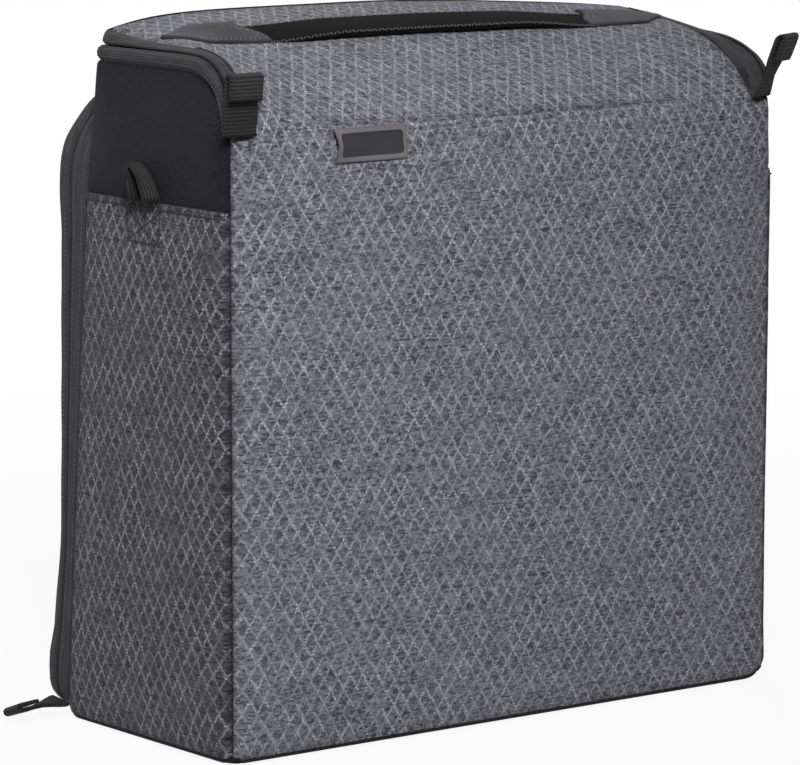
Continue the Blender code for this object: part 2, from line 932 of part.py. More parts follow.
def make_sliders():
    """The four sliders with their pulls, and the place of each pull's end bar."""
    lid_zip_line = along_back(zip_height)
    arch_turn = Matrix.Rotation(math.pi / 2, 4, "X")
    for side, hand in ((-1, "left"), (1, "right")):
        spot = (side * lid_slider_place, 0, lid_zip_line)
        matrix = back_matrix @ Matrix.Translation(spot)
        make_slider("lid_slider_" + hand, matrix)
        make_pull("lid_pull_" + hand, matrix, side)
        pull_pivots["lid_pull_" + hand] = place_of(matrix, (0, tunnel_centre, 0))
        spot = (side * door_slider_place, meeting_depth, arch_high + tape_inset)
        matrix = back_matrix @ Matrix.Translation(spot) @ arch_turn
        make_slider("door_slider_" + hand, matrix)
        make_pull("door_pull_" + hand, matrix, side)
        pull_pivots["door_pull_" + hand] = place_of(matrix, (0, tunnel_centre, 0))


# Lining and dividers

inner_half_width = half_width - wall - seam_gap
inner_front = front_y + wall + seam_gap
inner_floor = wall + seam_gap
room_half_width = inner_half_width - lining_thickness - seam_gap
room_front = inner_front + lining_thickness + seam_gap
room_floor = inner_floor + lining_thickness + seam_gap


def make_lining():
    """A thin cloth skin on the front, sides and floor of the inside, open at top and back."""
    top = seam_height - lining_top_drop

    def corner(sx, sy, sz):
        height = top if sz > 0 else inner_floor
        y = back_y(height) - wall - seam_gap if sy > 0 else inner_front
        return (sx * inner_half_width, y, height)

    item = placed_cube("interior_lining", corner)
    bm = bmesh.new()
    bm.from_mesh(item.data)
    top_face = max(bm.faces, key=lambda face: face.calc_center_median().z)
    back_face = max(bm.faces, key=lambda face: face.calc_center_median().y)
    open_faces = [top_face, back_face]
    bmesh.ops.delete(bm, geom=open_faces, context="FACES")
    bm.to_mesh(item.data)
    bm.free()
    solidify = item.modifiers.new("thickness", "SOLIDIFY")
    solidify.thickness = lining_thickness
    solidify.offset = -1
    solidify.use_even_offset = True
    return finish(item, lining_gray, 0.95)


def make_shelf(name, height):
    def corner(sx, sy, sz):
        z = height + shelf_thickness if sz > 0 else height
        y = back_y(height + shelf_thickness) - shelf_back_gap if sy > 0 else room_front
        return (sx * room_half_width, y, z)
    shelf = placed_cube(name, corner)
    bevel = shelf.modifiers.new("rounding", "BEVEL")
    bevel.width = shelf_thickness / 4
    bevel.segments = 2
    return finish(shelf, divider_gray, 0.95)


def make_divider(name, place, low, high):
    """An upright padded divider, with a hook-and-loop flange on the front wall."""
    web = divider_thickness / 2
    flange = divider_flange_width / 2
    back = back_y(high) - shelf_back_gap
    step = room_front + divider_flange_thickness
    half = [(flange, room_front), (flange, step), (web, step), (web, back)]
    points = half + [(-x, y) for x, y in reversed(half)]
    matrix = Matrix.Translation((place, 0, (low + high) / 2))
    divider = outline_solid(name, points, high - low, matrix)
    return finish(divider, divider_gray, 0.95)


def make_inside():
    make_lining()
    make_shelf("upper_shelf", upper_shelf_height)
    make_shelf("lower_shelf", lower_shelf_height)
    low = upper_shelf_height + shelf_thickness + seam_gap
    make_divider("top_divider", top_divider_place, low, low + top_divider_height)
    low = lower_shelf_height + shelf_thickness + seam_gap
    high = upper_shelf_height - seam_gap
    make_divider("middle_divider_left", -middle_divider_place, low, high)
    make_divider("middle_divider_right", middle_divider_place, low, high)
    make_divider("bottom_divider", bottom_divider_place, room_floor, lower_shelf_height - seam_gap)


# Handle

def make_handle():
    front = front_y + handle_front

    def strap_point(u, v):
        x = handle_centre + handle_half_length * (2 * u - 1)
        y = front + handle_width * v
        lift = patch_thickness + seam_gap + handle_lift * math.sin(math.pi * u) ** 2
        return lid_surface(x, y, lift + handle_thickness)

    strap = sheet(
        "handle_strap", strap_point, handle_columns, handle_rows, handle_thickness
    )
    finish(strap, webbing_black, 0.85)

    for side, hand in ((-1, "left"), (1, "right")):
        inner = handle_half_length + seam_gap

        def patch_point(u, v, side=side, inner=inner):
            across = v - 1 / 2
            tip = patch_length - patch_tip_length * abs(2 * across)
            reach = inner + tip * (u if side > 0 else 1 - u)
            x = handle_centre + side * reach
            y = front + handle_width / 2 + patch_width * across
            return lid_surface(x, y, seam_gap + patch_thickness)

        patch = sheet(
            "handle_anchor_" + hand, patch_point, patch_steps, patch_steps, patch_thickness
        )
        finish(patch, leather_charcoal, 0.6)


# Grab tabs, loops and label

def make_tab(name, matrix, sway=0.0):
    """A webbing tab that stands along Z, with its end folded into a stitched block.

    Its sway leans it sideways from a base that stays level.
    """
    thin = tab_thickness
    thick = tab_block_thickness
    reach = tab_strap_length
    end = tab_strap_length + tab_block_length
    points = [
        (0, 0), (0, end), (-thick, end), (-thick, reach), (-thin, reach), (-thin, 0),
    ]
    tab = outline_solid(
        name, points, tab_width, side_view, rounding=tab_edge_rounding, rounding_steps=1
    )
    lean = Matrix.Identity(4)
    lean[0][2] = sway
    tab.data.transform(lean @ side_view)
    tab.matrix_world = matrix
    return finish(tab, webbing_black, 0.85)


def make_tabs():
    low = lid_bottom + seam_gap
    spot = (tab_width / 2 - half_width, front_y - tab_standoff, low + left_tab_rise)
    make_tab("front_tab_left", Matrix.Translation(spot), left_tab_sway)
    spot = (half_width - right_tab_inset, front_y, low + right_tab_rise)
    right = Matrix.Translation(spot) @ Matrix.Rotation(right_tab_turn, 4, "Z")
    make_tab("front_tab_right", right, right_tab_sway)
    for side, hand in ((-1, "left"), (1, "right")):
        spot = (side * (half_width + tab_standoff), gusset_depth / 2, back_tab_height)
        lean = Matrix.Rotation(side * (math.pi / 2 + back_tab_droop), 4, "Y")
        face = Matrix.Rotation(-side * math.pi / 2, 4, "Z")
        make_tab("back_tab_" + hand, back_matrix @ Matrix.Translation(spot) @ lean @ face)


def make_loops():
    """Webbing loops that stand up from the side hems, wide across the wall's normal."""
    for side, hand in ((-1, "left"), (1, "right")):
        def loop_point(u, v, side=side):
            angle = math.pi * u
            y = front_y + loop_centre - loop_half_span * math.cos(angle)
            z = hem_height + seam_gap * 2 + loop_height * math.sin(angle) ** loop_fullness
            x = side * (half_width + seam_gap + loop_width * v)
            return Vector((x, y, z))

        loop = sheet("side_loop_" + hand, loop_point, loop_steps, 1, loop_thickness, side=side)
        finish(loop, webbing_black, 0.85)


def make_label():
    """A bare folded label that hangs from the front seam and bows off the panel."""
    left = -half_width + label_left
    top = seam_height - seam_gap

    def label_point(u, v):
        bow = label_bow * (1 - u) ** 2 * math.sin(math.pi * v)
        x = left + label_width * u
        z = top - label_height * (1 - v)
        return Vector((x, front_y - seam_gap - label_thickness - bow, z))

    label = sheet("label", label_point, label_steps, label_steps // 2, label_thickness)
    finish(label, gray_fabric, 0.9)


# Joints: an empty on each axis carries the pieces that turn about it

def hang(empty_name, location, names):
    """Parent pieces to an empty on their axis, where they are."""
    empty = make_empty(empty_name, location)
    bpy.context.view_layer.update()
    for name in names:
        item = bpy.data.objects[name]
        item.parent = empty
        item.matrix_parent_inverse = empty.matrix_world.inverted()
    return empty


def outer_face_of(tab_name):
    """The place at a tab's base, on the face that its folded end stands out from."""
    return place_of(bpy.data.objects[tab_name].matrix_world, (0, -tab_thickness, 0))


def hang_moving_pieces():
    lid_axis = (0, front_y - lid_axis_standoff, seam_height + seam_gap / 2)
    lid_pieces = [
        "lid_panel", "lid_lining", "lid_zip_lid_tape", "lid_zip_lid_coil",
        "handle_anchor_left", "handle_anchor_right",
    ]
    lid = hang("lid_hinge", lid_axis, lid_pieces)
    door_axis = place_of(back_matrix, (0, gusset_depth, arch_low))
    door_pieces = [
        "back_door_panel", "back_door_lining", "back_zip_door_tape", "back_zip_door_coil",
    ]
    hang("back_door_hinge", door_axis, door_pieces)
    handle_y = front_y + handle_front + handle_width / 2
    handle_z = lid_surface(handle_centre + handle_half_length, handle_y, handle_thickness).z
    on_lid = [
        ("handle_strap", (handle_centre, handle_y, handle_z)),
        ("front_tab_left", outer_face_of("front_tab_left")),
        ("front_tab_right", outer_face_of("front_tab_right")),
    ]
    for name, location in on_lid:
        empty = hang(name + "_pivot", location, [name])
        empty.parent = lid
        empty.matrix_parent_inverse = lid.matrix_world.inverted()
    for side, hand in ((-1, "left"), (1, "right")):
        base = (side * (half_width + seam_gap), front_y + loop_centre, hem_height + seam_gap)
        hang("side_loop_" + hand + "_pivot", base, ["side_loop_" + hand])
        name = "back_tab_" + hand
        hang(name + "_pivot", outer_face_of(name), [name])
    for name, pivot in pull_pivots.items():
        hang(name + "_pivot", pivot, [name])
    bpy.context.view_layer.update()
    for item in parts.objects:
        if item.type == "EMPTY":
            place = ["%.5f" % value for value in item.matrix_world.translation]
            print("axis", item.name, *place)


make_walls()
make_header()
make_lid()
make_lid_zip()
make_back_zip()
make_back_door()
make_sliders()
make_inside()
make_handle()
make_tabs()
make_loops()
make_label()
hang_moving_pieces()
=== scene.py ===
# %% [markdown]
# # A padded camera bag insert
# The CAD model gives every piece its place and its joints, as plain solids. This lesson
# dresses that frame: each padded panel, tape, strap and pull gets its real form and a
# procedural finish, and then rides on the body that it belongs to. All lengths are in
# metres, so the value mm turns a size in millimetres into one of the scene's.

# %% Load the fixed frame
import math
from functools import partialmethod

import bmesh
import bpy
from mathutils import Matrix, Vector, noise
from mathutils.bvhtree import BVHTree


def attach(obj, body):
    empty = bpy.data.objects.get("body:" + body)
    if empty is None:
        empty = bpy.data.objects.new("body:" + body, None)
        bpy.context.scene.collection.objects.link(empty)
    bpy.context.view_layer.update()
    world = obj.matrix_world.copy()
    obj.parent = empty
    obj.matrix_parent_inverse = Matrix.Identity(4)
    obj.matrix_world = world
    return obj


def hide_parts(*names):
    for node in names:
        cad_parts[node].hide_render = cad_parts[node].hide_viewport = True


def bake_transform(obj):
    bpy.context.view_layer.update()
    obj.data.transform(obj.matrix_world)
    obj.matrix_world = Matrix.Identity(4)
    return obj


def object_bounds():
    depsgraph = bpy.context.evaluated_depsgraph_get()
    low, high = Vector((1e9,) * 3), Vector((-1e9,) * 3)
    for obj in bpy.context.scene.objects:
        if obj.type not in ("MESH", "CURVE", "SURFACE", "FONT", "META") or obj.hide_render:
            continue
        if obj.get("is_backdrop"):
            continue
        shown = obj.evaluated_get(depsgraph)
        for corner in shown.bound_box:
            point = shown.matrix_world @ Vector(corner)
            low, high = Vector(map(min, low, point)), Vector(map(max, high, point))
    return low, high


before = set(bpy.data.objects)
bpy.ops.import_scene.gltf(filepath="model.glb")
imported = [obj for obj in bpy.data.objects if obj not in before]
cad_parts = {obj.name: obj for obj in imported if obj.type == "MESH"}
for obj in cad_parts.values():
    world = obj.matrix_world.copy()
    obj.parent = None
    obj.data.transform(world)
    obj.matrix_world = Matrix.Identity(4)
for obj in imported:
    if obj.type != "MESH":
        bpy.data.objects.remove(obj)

mm = 0.001
hands = ((-1, "left"), (1, "right"))
cad_low, cad_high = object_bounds()

# %% [markdown]
# ## Camera, light and floor
# A product photograph of this kind is taken from a long way off with a long lens, a
# little above the object and off its front left corner. Large soft lamps light it from
# above and from the left. The floor and the world look white to the camera, and the
# floor still takes the shadow.

# %% Camera
azimuth = math.radians(-37.39)
elevation = math.radians(8.47)
lens = 216.0
camera_place = Vector((-1.24524, -1.61271, 0.44120))


def into_scene(name, data):
    item = bpy.data.objects.new(name, data)
    bpy.context.scene.collection.objects.link(item)
    return item


def from_faces(name, bm, cloth):
    """A mesh object from a finished bmesh, in one cloth."""
    mesh = bpy.data.meshes.new(name)
    bm.to_mesh(mesh)
    bm.free()
    mesh.materials.append(cloth)
    return into_scene(name, mesh)


def make_camera():
    towards = Vector((
        -math.sin(azimuth) * math.cos(elevation),
        math.cos(azimuth) * math.cos(elevation),
        -math.sin(elevation),
    ))
    data = bpy.data.cameras.new("camera")
    data.lens = lens
    data.clip_start = 0.05
    data.clip_end = 60.0
    item = into_scene("camera", data)
    item.location = camera_place
    item.rotation_euler = towards.to_track_quat("-Z", "Y").to_euler()
    bpy.context.scene.camera = item


make_camera()
print("camera", [round(value, 3) for value in camera_place])

# %% [markdown]
# ## Shaders written as sums
# A cloth's colour is a sum of many small patterns. Wiring each Math node by hand hides
# that sum, so one class lets a socket stand in ordinary Python arithmetic. A second class
# collects the nodes of one material and ends them in a Principled shader.

# %% Node trees as expressions
class Value:
    """A socket that takes part in Python arithmetic by adding Math nodes."""

    def __init__(self, tree, socket):
        self.tree = tree
        self.socket = socket

    def joined(self, operation, *others):
        node = self.tree.nodes.new("ShaderNodeMath")
        node.operation = operation
        for place, item in zip(node.inputs, (self, *others)):
            if isinstance(item, Value):
                self.tree.links.new(item.socket, place)
            else:
                place.default_value = item
        return Value(self.tree, node.outputs[0])

    def reflected(self, operation, other):
        node = self.tree.nodes.new("ShaderNodeMath")
        node.operation = operation
        node.inputs[0].default_value = other
        self.tree.links.new(self.socket, node.inputs[1])
        return Value(self.tree, node.outputs[0])

    __add__ = __radd__ = partialmethod(joined, "ADD")
    __mul__ = __rmul__ = partialmethod(joined, "MULTIPLY")
    __sub__ = partialmethod(joined, "SUBTRACT")
    __rsub__ = partialmethod(reflected, "SUBTRACT")
    __truediv__ = partialmethod(joined, "DIVIDE")
    __rtruediv__ = partialmethod(reflected, "DIVIDE")
    __pow__ = partialmethod(joined, "POWER")
    __abs__ = partialmethod(joined, "ABSOLUTE")
    sine = partialmethod(joined, "SINE")
    fraction = partialmethod(joined, "FRACT")
    whole = partialmethod(joined, "FLOOR")
    at_most = partialmethod(joined, "MINIMUM")
    at_least = partialmethod(joined, "MAXIMUM")

    def wave(self, period):
        """A sine that goes from 0 to 1 and back in each period."""
        return (self * (2 * math.pi / period)).sine() * 0.5 + 0.5

    def step(self, low, high):
        """A smooth ramp from 0 at low to 1 at high; low may be the larger."""
        node = self.tree.nodes.new("ShaderNodeMapRange")
        node.interpolation_type = "SMOOTHSTEP"
        flip = low > high
        self.tree.links.new(self.socket, node.inputs["Value"])
        node.inputs["From Min"].default_value = min(low, high)
        node.inputs["From Max"].default_value = max(low, high)
        node.inputs["To Min"].default_value = 1.0 if flip else 0.0
        node.inputs["To Max"].default_value = 0.0 if flip else 1.0
        return Value(self.tree, node.outputs[0])


# %% A material in the making
class Finish:
    """A material's node tree, and the patterns that the cloths share."""

    def __init__(self, name):
        self.material = bpy.data.materials.new(name)
        self.material.use_nodes = True
        self.tree = self.material.node_tree
        self.tree.nodes.clear()

    def add(self, kind, settings=None, sockets=None, output=0):
        """Any node: its settings first, then the values or links of its sockets."""
        node = self.tree.nodes.new(kind)
        for key, item in (settings or {}).items():
            setattr(node, key, item)
        for key, item in (sockets or {}).items():
            place = node.inputs[key]
            if isinstance(item, Value):
                self.tree.links.new(item.socket, place)
            else:
                place.default_value = item
        return Value(self.tree, node.outputs[output]) if len(node.outputs) else node

    def weave_place(self):
        """The piece's own flat cloth coordinates, in millimetres: along and up."""
        place = self.add("ShaderNodeUVMap", {"uv_map": "weave"})
        along = self.add("ShaderNodeSeparateXYZ", None, {0: place}, 0)
        up = self.add("ShaderNodeSeparateXYZ", None, {0: place}, 1)
        return along * 1000, up * 1000

    def object_place(self):
        return self.add("ShaderNodeTexCoord", None, None, 3)

    def point(self, along, up, deep=0.0):
        return self.add("ShaderNodeCombineXYZ", None, {0: along, 1: up, 2: deep})

    def grain(self, place, scale=1.0, detail=2.0, roughness=0.5):
        """Noise from 0 to 1 at a place."""
        return self.add(
            "ShaderNodeTexNoise", None,
            {"Vector": place, "Scale": scale, "Detail": detail, "Roughness": roughness},
        )

    def flat_grain(self, along, up, seed=0.0, detail=2.0, roughness=0.5):
        """Noise from 0 to 1 over the flat cloth; each seed gives another field."""
        return self.grain(self.point(along, up, seed), 1.0, detail, roughness)

    def mix(self, factor, first, second):
        return self.add(
            "ShaderNodeMix", {"data_type": "RGBA"}, {0: factor, 6: first, 7: second}, 2
        )

    def attribute(self, name):
        return self.add("ShaderNodeAttribute", {"attribute_name": name}, None, 2)

    def finish(self, colour, roughness, height=None, depth=0.0003, strength=1.0, **fixed):
        sockets = {"Base Color": colour, "Roughness": roughness}
        if height is not None:
            sockets["Normal"] = self.add(
                "ShaderNodeBump", None,
                {"Strength": strength, "Distance": depth, "Height": height},
            )
        sockets.update(fixed)
        shader = self.add("ShaderNodeBsdfPrincipled", None, sockets)
        self.add("ShaderNodeOutputMaterial", None, {"Surface": shader})
        return self.material


# %% Colours
def colour(red, green, blue):
    """A colour as seen on a screen, 0 to 255, in the linear values a shader takes."""
    shares = []
    for part in (red, green, blue):
        part = part / 255
        shares.append(part / 12.92 if part <= 0.04045 else ((part + 0.055) / 1.055) ** 2.4)
    return (*shares, 1.0)


def dimmed(tint, share):
    """A colour with its light cut to a share."""
    return (*(part * share for part in tint[:3]), 1.0)


# %% Lamps, world and floor
def make_lamp(name, place, target, size, power, spread=180):
    data = bpy.data.lights.new(name, "AREA")
    data.spread = math.radians(spread)
    data.shape = "RECTANGLE"
    data.size, data.size_y = size
    data.energy = power
    item = into_scene(name, data)
    item.location = place
    way = Vector(target) - Vector(place)
    item.rotation_euler = way.to_track_quat("-Z", "Y").to_euler()


def make_light():
    middle = (0, 0, 0.15)
    make_lamp("key_lamp", (-0.85, -1.25, 1.15), (-0.19, -0.06, 0.34), (0.5, 0.4), 1.75, 40)
    make_lamp("top_lamp", (-0.2, 0.3, 2.2), middle, (1.6, 1.6), 6.0)
    make_lamp("side_lamp", (-2.1, 0.4, 0.9), middle, (1.2, 1.4), 2.2)
    make_lamp("back_lamp", (0.6, 2.2, 1.4), middle, (1.6, 1.2), 9.0)


world_light = 0.125


def make_world():
    """A world that looks white to the camera and gives the bag a dim even light."""
    world = bpy.data.worlds.new("studio")
    bpy.context.scene.world = world
    world.use_nodes = True
    tree = world.node_tree
    tree.nodes.clear()
    path = tree.nodes.new("ShaderNodeLightPath")
    camera = Value(tree, path.outputs["Is Camera Ray"])
    glossy = Value(tree, path.outputs["Is Glossy Ray"])
    through = Value(tree, path.outputs["Is Transmission Ray"])
    seen = (camera + glossy + through).at_most(1.0)
    dim = tree.nodes.new("ShaderNodeBackground")
    dim.inputs["Color"].default_value = (1, 1, 1, 1)
    dim.inputs["Strength"].default_value = world_light
    white = tree.nodes.new("ShaderNodeBackground")
    white.inputs["Strength"].default_value = 1.0
    white.inputs["Color"].default_value = (1, 1, 1, 1)
    both = tree.nodes.new("ShaderNodeMixShader")
    tree.links.new(seen.socket, both.inputs[0])
    tree.links.new(dim.outputs[0], both.inputs[1])
    tree.links.new(white.outputs[0], both.inputs[2])
    out = tree.nodes.new("ShaderNodeOutputWorld")
    tree.links.new(both.outputs[0], out.inputs["Surface"])


near_white = 0.91


def make_floor():
    """A pale floor: nearly white to the camera, so that some shadow stays near the bag."""
    bm = bmesh.new()
    bmesh.ops.create_grid(bm, x_segments=1, y_segments=1, size=14)
    paper = Finish("floor_paper")
    fleck = paper.grain(paper.object_place(), 40.0)
    tone = paper.mix(fleck, colour(238, 238, 238), colour(244, 244, 244))
    lit = paper.add("ShaderNodeBsdfDiffuse", None, {"Color": tone})
    glow = paper.add("ShaderNodeEmission", None, {"Strength": 1.0, "Color": (1, 1, 1, 1)})
    camera = paper.add("ShaderNodeLightPath", None, None, 0)
    glossy = paper.add("ShaderNodeLightPath", None, None, 3)
    away = paper.add(
        "ShaderNodeVectorMath", {"operation": "LENGTH"}, {0: paper.object_place()}, 1
    )
    white = away.step(0.28, 1.1) * (1 - near_white) + near_white
    share = (camera + glossy).at_most(1.0) * white
    both = paper.add("ShaderNodeMixShader", None, {0: share, 1: lit, 2: glow})
    paper.add("ShaderNodeOutputMaterial", None, {"Surface": both})
    floor = from_faces("floor", bm, paper.material)
    floor.location = (0, 0, -0.4 * mm)
    floor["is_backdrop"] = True


make_light()
make_world()
make_floor()
bpy.context.scene.view_settings.view_transform = "Standard"

# %% [markdown]
# ## The cloths and finishes
# The gray cloth is a mixed-thread canvas with a raised diamond grid. It could be a
# photograph laid on the panels, but a picture repeats and blurs close up. Here its picks,
# dashes and sparks are drawn in the cloth's own flat coordinates, so the pattern follows
# every curve and runs on over the fold. The black cloths differ in their scale alone: a
# close softshell, a ribbed zip tape and a twill webbing.

# %% The gray grid canvas
grid_across = 6.62
grid_up = 10.4
pick_height = 0.72


def grid_canvas(name, shade=1.0, line_share=1.0, glint=1.0):
    """Gray mixed-thread canvas; shade dims it as painted shade, line_share and glint fade its
    raised grid.
    """
    cloth = Finish(name)
    along, up = cloth.weave_place()
    sway = cloth.flat_grain(along * 0.16, up * 0.16, 0.0, 2.0) - 0.5
    sway_up = cloth.flat_grain(along * 0.14, up * 0.14, 7.0, 2.0) - 0.5
    a = along + sway * 2.4
    b = up + sway_up * 2.0
    pick = (b / pick_height).whole()
    dash = cloth.flat_grain(a * 0.30, pick * 3.17, 11.0, 1.0)
    slub = cloth.flat_grain(a * 0.11, pick * 5.31, 4.0, 1.0)
    fleck = cloth.flat_grain(a * 1.15, pick * 7.77, 19.0, 1.0)
    jog = (fleck - 0.5) * 1.5
    first = (a + jog) / grid_across + b / grid_up
    second = (a + jog) / grid_across - b / grid_up
    away_first = abs((first + 0.5).fraction() - 0.5) * 5.5
    away_second = abs((second + 0.5).fraction() - 0.5) * 5.5
    line = away_first.step(0.80, 0.20).at_least(away_second.step(0.80, 0.20))
    spark = cloth.flat_grain(a * 1.9, pick * 2.39, 31.0, 1.0).step(0.44, 0.60)
    floats = (b * (math.pi / pick_height)).sine() * 0.28 + 0.72
    faded = cloth.flat_grain(a * 0.07, b * 0.09, 41.0, 2.0).step(0.25, 0.68)
    grid = line * (spark * floats * 0.88 + 0.12) * (faded * 0.70 + 0.30) * line_share
    tone = dash.step(0.42, 0.60) * 0.48 + slub.step(0.41, 0.59) * 0.24
    tone = tone + fleck.step(0.38, 0.62) * 0.28
    cloudy = cloth.flat_grain(along * 0.02, up * 0.02, 23.0, 2.0)
    dark = dimmed(colour(43, 43, 52), shade)
    light = dimmed(colour(139, 139, 149), shade)
    bright = dimmed(colour(222, 222, 229), glint)
    body = cloth.mix(tone, dark, light)
    body = cloth.mix((grid * 1.05).at_most(1.0), body, bright)
    body = cloth.mix(cloudy.step(0.3, 0.7) * 0.12, body, light)
    # Painted shade: the cloth darkens next to its seams by the edge value, broken up by the
    # flecks; worn is this painted shade mask, not wear.
    edge = cloth.attribute("edge")
    worn = (edge * (0.55 + fleck * 0.6)).at_most(1.0)
    body = cloth.mix(worn * 0.70, body, dimmed(dark, 0.22))
    ridge = b.wave(pick_height)
    height = grid * 0.45 + tone * 0.8 + ridge * 0.22 + edge * fleck * 0.8
    return cloth.finish(
        body, 0.93, height, 0.00038, 1.0,
        **{"Sheen Weight": 0.06, "Sheen Roughness": 0.5, "Specular IOR Level": 0.16},
    )


# %% The black cloths
def softshell(name):
    cloth = Finish(name)
    along, up = cloth.weave_place()
    knit = (along * (2 * math.pi / 0.85)).sine() * (up * (2 * math.pi / 0.85)).sine()
    fuzz = cloth.flat_grain(along * 0.9, up * 0.9, 0.0, 3.0, 0.8)
    cloudy = cloth.flat_grain(along * 0.04, up * 0.04, 5.0, 2.0)
    tone = cloth.mix(fuzz.step(0.3, 0.7), colour(5, 5, 7), colour(40, 40, 46))
    tone = cloth.mix(cloudy.step(0.35, 0.65) * 0.25, tone, colour(40, 40, 47))
    # Painted shade: the softshell turns near black next to its seams, by the edge value.
    edge = cloth.attribute("edge")
    tone = cloth.mix(edge * 0.5, tone, colour(9, 9, 11))
    height = fuzz * 0.6 + knit * 0.25
    return cloth.finish(
        tone, 0.8, height, 0.0003, 1.0,
        **{"Sheen Weight": 0.03, "Sheen Roughness": 0.4, "Specular IOR Level": 0.14},
    )


def ribbed_tape(name, light=66, rib=0.9, course=1.1):
    """Zip tape: knitted dots, a rib apart, in rows a course apart."""
    cloth = Finish(name)
    along, up = cloth.weave_place()
    rows = up.wave(course)
    ribs = (along + (up / course).whole() * 0.35).wave(rib)
    fleck = cloth.flat_grain(along * 1.4, up * 2.4, 0.0, 2.0, 0.7)
    cloudy = cloth.flat_grain(along * 0.08, up * 0.3, 6.0, 2.0)
    dark = colour(light * 0.45, light * 0.45, light * 0.47)
    pale = colour(light * 1.75, light * 1.74, light * 1.80)
    knit = (ribs * rows).step(0.35, 0.95)
    tone = cloth.mix((knit * 0.62 + fleck * 0.35).at_most(1.0), dark, pale)
    tone = cloth.mix(cloudy.step(0.35, 0.65) * 0.35, tone, dark)
    # Painted shade: the tape turns near black along its edges, by the edge value, for the shade
    # where it meets the cloth beside it.
    edge = cloth.attribute("edge")
    tone = cloth.mix(edge * 0.85, tone, colour(7, 7, 8))
    height = knit * 0.8 + fleck * 0.3
    return cloth.finish(
        tone, 0.85, height, 0.0003, 1.0,
        **{"Sheen Weight": 0.05, "Specular IOR Level": 0.16},
    )


def webbing(name, light=50, rib=1.3, contrast=1.0, shine=0.16):
    """Twill webbing: cords across its length, each of twisted yarns."""
    cloth = Finish(name)
    along, up = cloth.weave_place()
    twill = (along + up * 0.5).wave(1.5)
    cords = up.wave(rib)
    yarn = (along * (2 * math.pi / 0.7) + cords * 2.0).sine() * 0.5 + 0.5
    fleck = cloth.flat_grain(along * 1.2, up * 1.2, 0.0, 2.0, 0.7)
    dark = colour(light * 0.42, light * 0.41, light * 0.42)
    pale = colour(*(light * (1 + share * contrast) for share in (0.75, 0.70, 0.75)))
    tone = cloth.mix(
        (cords * (yarn * 0.5 + twill * 0.2 + 0.15) + fleck * 0.35).at_most(1.0), dark, pale
    )
    # Painted shade: the webbing turns near black along its edges, by the edge value.
    edge = cloth.attribute("edge")
    tone = cloth.mix(edge * 0.6, tone, colour(8, 8, 8))
    height = cords * 0.8 + yarn * 0.35 + fleck * 0.25
    return cloth.finish(
        tone, 0.82, height, 0.00035, 1.0,
        **{"Specular IOR Level": shine},
    )


def woven_label(name, width, height):
    """A woven label: a gray border round a dark field with rounded corners, left bare."""
    cloth = Finish(name)
    along, up = cloth.weave_place()
    across = abs(along - width / 2) - (width / 2 - 3.9)
    rise = abs(up - height / 2) - (height / 2 - 4.2)
    corner_reach = (across.at_least(0.0) ** 2 + rise.at_least(0.0) ** 2) ** 0.5
    field = corner_reach.step(2.05, 1.75)
    rim = field - corner_reach.step(1.65, 1.35)
    weft, warp = up.wave(0.45), along.wave(0.7)
    fleck = cloth.flat_grain(along * 1.6, up * 2.2, 0.0, 2.0, 0.7)
    border = cloth.mix(fleck * 0.6 + weft * 0.4, colour(96, 92, 96), colour(132, 127, 131))
    inner = cloth.mix(fleck * 0.6 + weft * 0.4, colour(33, 33, 35), colour(60, 60, 62))
    tone = cloth.mix(field, border, inner)
    tone = cloth.mix(rim * (warp * 0.7 + 0.3) * 0.8, tone, colour(24, 24, 25))
    # Painted shade: the label darkens along its edge, by the edge value.
    edge = cloth.attribute("edge")
    tone = cloth.mix(edge * 0.55, tone, colour(60, 57, 60))
    lift = weft * 0.5 + fleck * 0.4 + rim * 0.9
    return cloth.finish(tone, 0.75, lift, 0.00018, 0.9, **{"Specular IOR Level": 0.3})


# %% Leather, lining, thread, coil and metal
def leather(name):
    hide = Finish(name)
    place = hide.object_place()
    pores = hide.add(
        "ShaderNodeTexVoronoi", {"feature": "DISTANCE_TO_EDGE"},
        {"Vector": place, "Scale": 900.0, "Randomness": 1.0},
    )
    wrinkle = hide.grain(place, 350.0, 3.0, 0.6)
    cloudy = hide.grain(place, 60.0, 2.0)
    tone = hide.mix(cloudy.step(0.3, 0.7), colour(42, 42, 45), colour(58, 58, 61))
    # Painted shade: the leather turns darker along its edge, by the edge value.
    edge = hide.attribute("edge")
    tone = hide.mix(edge * 0.7, tone, colour(20, 20, 22))
    height = pores.step(0.0, 0.12) * 0.5 + wrinkle * 0.5
    rough = wrinkle * 0.2 + 0.58
    return hide.finish(tone, rough, height, 0.00015, 0.9, **{"Specular IOR Level": 0.25})


def brushed_lining(name, low=112, high=150):
    """Brushed loop cloth that hook fasteners grip: short fuzz in all directions."""
    cloth = Finish(name)
    place = cloth.object_place()
    fuzz = cloth.grain(place, 1500.0, 3.0, 0.75)
    loops = cloth.grain(place, 500.0, 2.0, 0.6)
    cloudy = cloth.grain(place, 25.0, 2.0)
    tone = cloth.mix(
        fuzz.step(0.25, 0.75) * 0.6 + loops.step(0.3, 0.7) * 0.4,
        colour(low, low, low + 2), colour(high, high, high + 4),
    )
    shaded = colour(low * 0.9, low * 0.9, low * 0.92)
    tone = cloth.mix(cloudy.step(0.35, 0.65) * 0.3, tone, shaded)
    # Painted shade: the pad darkens along its edges, by the edge value.
    edge = cloth.attribute("edge")
    tone = cloth.mix(edge * 0.35, tone, colour(low * 0.5, low * 0.5, low * 0.5))
    height = fuzz * 0.6 + loops * 0.6
    return cloth.finish(
        tone, 0.95, height, 0.0004, 0.8,
        **{"Sheen Weight": 0.4, "Sheen Roughness": 0.4, "Specular IOR Level": 0.2},
    )


